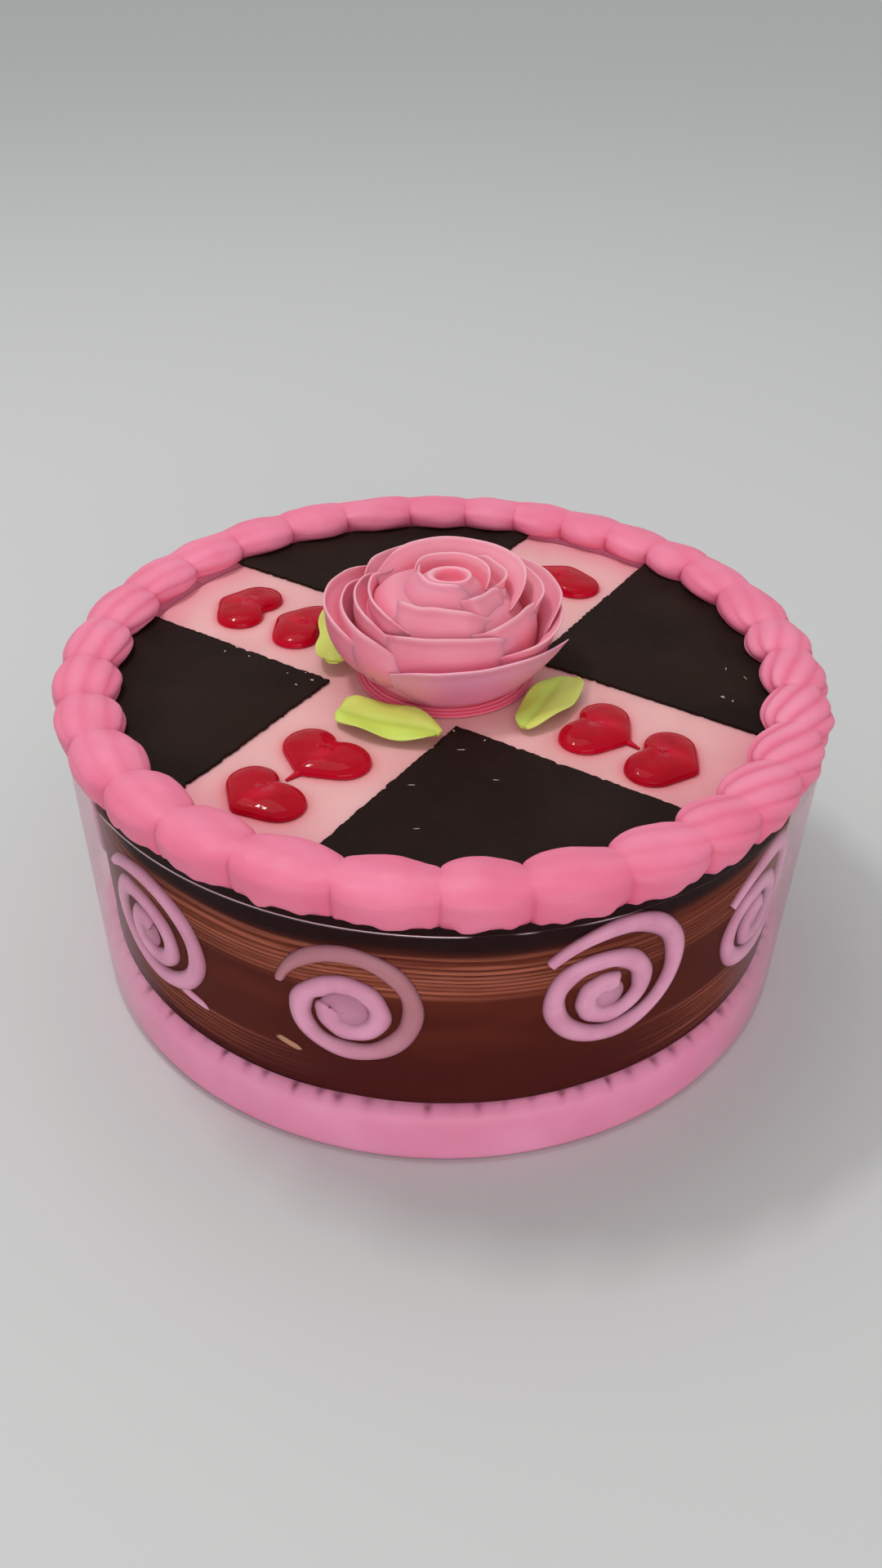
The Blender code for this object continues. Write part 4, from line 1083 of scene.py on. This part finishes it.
def heart_part(name):
    rise = np.linspace(0, 1, 16)
    shrink = np.cos(rise * math.pi / 2) ** 0.55
    level = np.sin(rise * math.pi / 2) ** 0.75
    line = placed_heart(name, HEART_STEPS)
    middle = np.array(HEARTS[name][0]) * MM
    rings = middle + (line - middle) * np.maximum(shrink, 0.004)[:, None, None]
    wobble = 0.25 * MM * lumps(np.concatenate([rings, np.zeros(rings.shape[:2] + (1,))], -1), 6 * MM, 12)
    dent = 0.35 * MM * np.exp(-(np.linalg.norm(rings - line[0], axis=-1) / (3.2 * MM)) ** 2)
    height = CREAM_TOP + 0.25 * MM + (3.55 * MM * level)[:, None] + (wobble - dent) * level[:, None]
    points = np.concatenate([rings, height[..., None]], -1)
    turn = math.radians(HEARTS[name][1])
    ahead = (rings - middle) @ np.array([math.cos(turn), math.sin(turn)]) / MM
    aside = (rings - middle) @ np.array([-math.sin(turn), math.cos(turn)]) / MM
    # A painted sheen along the heart from the notch towards the tip
    band = np.exp(-((aside - 1.5) / 2.6) ** 2) * smooth(-5, 0, ahead) * smooth(11, 4, ahead)
    return capped(grid(points, False, True, thick=level[:, None], band=band))


def tail_part(name):
    """A thin thread of gel from the heart's tip."""
    line = placed_heart(name, HEART_STEPS)
    start = line[0] * 0.88 + line.mean(0) * 0.12
    end = np.array(TAILS[name]) * MM
    share = np.linspace(0, 1, 14)[:, None]
    ring = np.linspace(0, 2 * math.pi, 10, endpoint=False)
    ahead = (end - start) / np.linalg.norm(end - start)
    aside = np.array([-ahead[1], ahead[0]])
    half = (1.5 - 1.0 * share) * MM
    flat = start + (end - start) * share[..., None] + aside * (np.cos(ring) * half)[..., None]
    height = CREAM_TOP + 0.3 * MM + np.maximum(np.sin(ring), -0.2) * half * 0.9
    points = np.concatenate([flat, height[..., None]], -1)
    return capped(grid(points, False, True, thick=0.35, band=0.0))


def red_gel():
    recipe = Recipe("red_gel")
    cloud = recipe.speckle(120, 2.0)
    ripple = recipe.speckle(190, 2.0, 0.4)
    thick = recipe.mark("thick")
    colour = recipe.mix(recipe.step(thick, 0.1, 0.75), paint(196, 4, 40), paint(172, 0, 26))
    colour = recipe.mix(recipe.step(cloud, 0.45, 0.75) * 0.5, colour, paint(150, 0, 18))
    # Painted sheen
    colour = recipe.mix(recipe.mark("band") * 0.6, colour, paint(204, 14, 46))
    return recipe.serve(Base_Color=colour, Roughness=0.05 + cloud * 0.03,
                        Normal=recipe.bump(ripple, 0.0003), Specular_IOR_Level=0.13,
                        Subsurface_Weight=0.12, Subsurface_Radius=(1.0, 0.08, 0.08), Subsurface_Scale=0.003)


gel = red_gel()
for name in HEARTS:
    parts = [heart_part(name)] + ([tail_part(name)] if name in TAILS else [])
    piece(f"gel_{name}", parts, gel, [name])

# %% [markdown]
# ## Small leftovers
# A few pale crumbs of cream cling to the chocolate wedges near their cut edges, with some fine scratches
# between them. One sliver of cream hangs from the left swirl, and a beige fleck sticks to the chocolate
# beside the front swirl. They are small but they are what makes the cake look handled. Each is a little
# lump, pushed out of round by noise.

# %% Crumbs, scratches, sliver and fleck
def lump_part(centre, sizes, turn, seed):
    """A small uneven lump at a place, with its three half sizes, turned about the upright."""
    rows, columns = 9, 14
    lift, around = np.meshgrid(np.linspace(-math.pi / 2, math.pi / 2, rows),
                               np.linspace(0, 2 * math.pi, columns, endpoint=False), indexing="ij")
    ball = np.stack([np.cos(lift) * np.cos(around), np.cos(lift) * np.sin(around), np.sin(lift)], -1)
    ball = ball * (1 + 0.35 * lumps(ball, 0.8, seed))[..., None] * np.array(sizes)
    cos, sin = math.cos(turn), math.sin(turn)
    spun = ball @ np.array([[cos, sin, 0], [-sin, cos, 0], [0, 0, 1]])
    part = capped(grid(spun * MM + np.array(centre) * MM, False, True))
    part["faces"] = [face[::-1] for face in part["faces"]]
    return part


# Crumbs as x, y and size; scratches as x, y, length and the way they run; all in mm and degrees
CRUMBS = ((-43.5, -9.5, 1.1), (-46.0, -5.0, 0.7), (-48.5, -12.5, 0.9), (-52, -5.5, 0.6), (-66, 5.0, 0.8),
          (-71, 11.5, 0.7), (-74.5, 8.0, 0.9), (90.1, -15.4, 1.2), (92.9, -17.7, 0.9), (3, -38.0, 0.8),
          (12.5, -43, 0.7))
SCRATCHES = ((94.0, 2.7, 1.7, 78), (99.5, -2.9, 2.2, 112), (5.4, -48.1, 2.6, 4), (-9.3, -66.9, 2.2, 3),
             (15.5, -63.6, 2.0, -6), (-7.3, -87.8, 2.0, 2))
wedge_top = CREAM_TOP / MM + 1.3
crumb_parts = [lump_part((x, y, wedge_top + 0.15), (size * 0.55, size * 0.3, size * 0.25), index * 1.3,
                         index) for index, (x, y, size) in enumerate(CRUMBS)]
crumb_parts += [lump_part((x, y, wedge_top + 0.03), (length / 2, 0.16, 0.07), math.radians(way), index + 20)
                for index, (x, y, length, way) in enumerate(SCRATCHES)]
crumb_cream = piped_cream("crumb_cream", paint(214, 190, 184), paint(196, 168, 162), paint(170, 132, 128),
                          patch=0.3)
piece("cream_crumbs", crumb_parts, crumb_cream)


def on_side(turn, height, along, up, out, tilt, seed):
    """A lump pressed flat on the chocolate, seen from outside: its half sizes along, up and out, in mm."""
    part = lump_part((0, 0, 0), (out, along, up), 0.0, seed)
    lean = math.radians(tilt)
    tip = np.array([[1, 0, 0], [0, math.cos(lean), math.sin(lean)], [0, -math.sin(lean), math.cos(lean)]])
    angle = math.radians(turn)
    cos, sin = math.cos(angle), math.sin(angle)
    face = np.array([[cos, sin, 0], [-sin, cos, 0], [0, 0, 1]])
    radius = chocolate_face(height * MM)
    centre = np.array([radius * cos, radius * sin, height * MM])
    part["points"] = part["points"] @ tip @ face + centre
    return part


biscuit = piped_cream("biscuit_fleck", paint(206, 160, 132), paint(186, 134, 106), paint(150, 100, 78),
                      patch=0.3)
piece("side_fleck", [on_side(-112.1, 38.4, 4.2, 1.3, 0.5, -18, 3)], biscuit)
piece("swirl_sliver", [on_side(-130.5, 38.2, 8.5, 1.5, 0.8, -10, 5)], lilac)

# %% [markdown]
# ## Table, light and camera
# A studio shot of food needs soft light from several ways: a large lamp overhead, a second large one in
# front so that the side of the cake is not lost, and a bright grey room that fills the shadows. A small
# strong lamp draws the glints on the gel. The camera stands where the photograph was taken: close, half
# above the cake, with a slight roll.

# %% Pale table
table_mesh = bpy.data.meshes.new("table")
corners = [(x * 8.0, y * 8.0, 0) for x, y in ((-1, -1), (1, -1), (1, 1), (-1, 1))]
table_mesh.from_pydata(corners, [], [(0, 1, 2, 3)])
table = bpy.data.objects.new("table", table_mesh)
bpy.context.scene.collection.objects.link(table)
pale = Recipe("pale_table")
table_mesh.materials.append(pale.serve(Base_Color=(0.58, 0.58, 0.57, 1.0), Roughness=0.6))


# %% Soft lights
def soft_light(name, place, target, size, watts):
    lamp = bpy.data.lights.new(name, "AREA")
    lamp.shape = "RECTANGLE"
    lamp.size, lamp.size_y = size
    lamp.energy = watts
    holder = bpy.data.objects.new(name, lamp)
    holder.location = place
    holder.rotation_euler = (Vector(target) - Vector(place)).to_track_quat("-Z", "Y").to_euler()
    bpy.context.scene.collection.objects.link(holder)


soft_light("overhead", (-0.35, 0.35, 1.6), (0, 0, 0.05), (1.2, 1.0), 4.6)
soft_light("front", (0.3, -1.7, 0.5), (0, 0, 0.05), (1.4, 0.7), 10)
soft_light("glint", (-0.45, 0.2, 1.25), (0, 0, 0.1), (0.26, 0.06), 4.0)
world = bpy.data.worlds.new("room")
world.use_nodes = True
sky = world.node_tree.nodes["Background"]
sky.inputs["Color"].default_value = (0.80, 0.82, 0.83, 1.0)
sky.inputs["Strength"].default_value = 0.72
bpy.context.scene.world = world
bpy.context.scene.view_settings.view_transform = "Standard"

# %% Camera
# Its angle, distance and lens were found by laying the cake's circles over those in the photograph
elevation, roll = math.radians(35.86), math.radians(1.059)
back_way = Vector((0, -math.cos(elevation), math.sin(elevation)))
up_way = Vector((0, math.sin(elevation), math.cos(elevation)))
right_way = Vector((1, 0, 0))
lens = bpy.data.cameras.new("camera")
lens.lens = 31.216
lens.sensor_width = 36
lens.clip_end = 50
camera = bpy.data.objects.new("camera", lens)
axes = Matrix((right_way * math.cos(roll) + up_way * math.sin(roll),
               up_way * math.cos(roll) - right_way * math.sin(roll), back_way)).transposed()
looked_at, distance = Vector((-0.0007, 0, 0.0545)), 0.4811
camera.matrix_world = Matrix.Translation(looked_at + back_way * distance) @ axes.to_4x4()
bpy.context.scene.collection.objects.link(camera)
bpy.context.scene.camera = camera
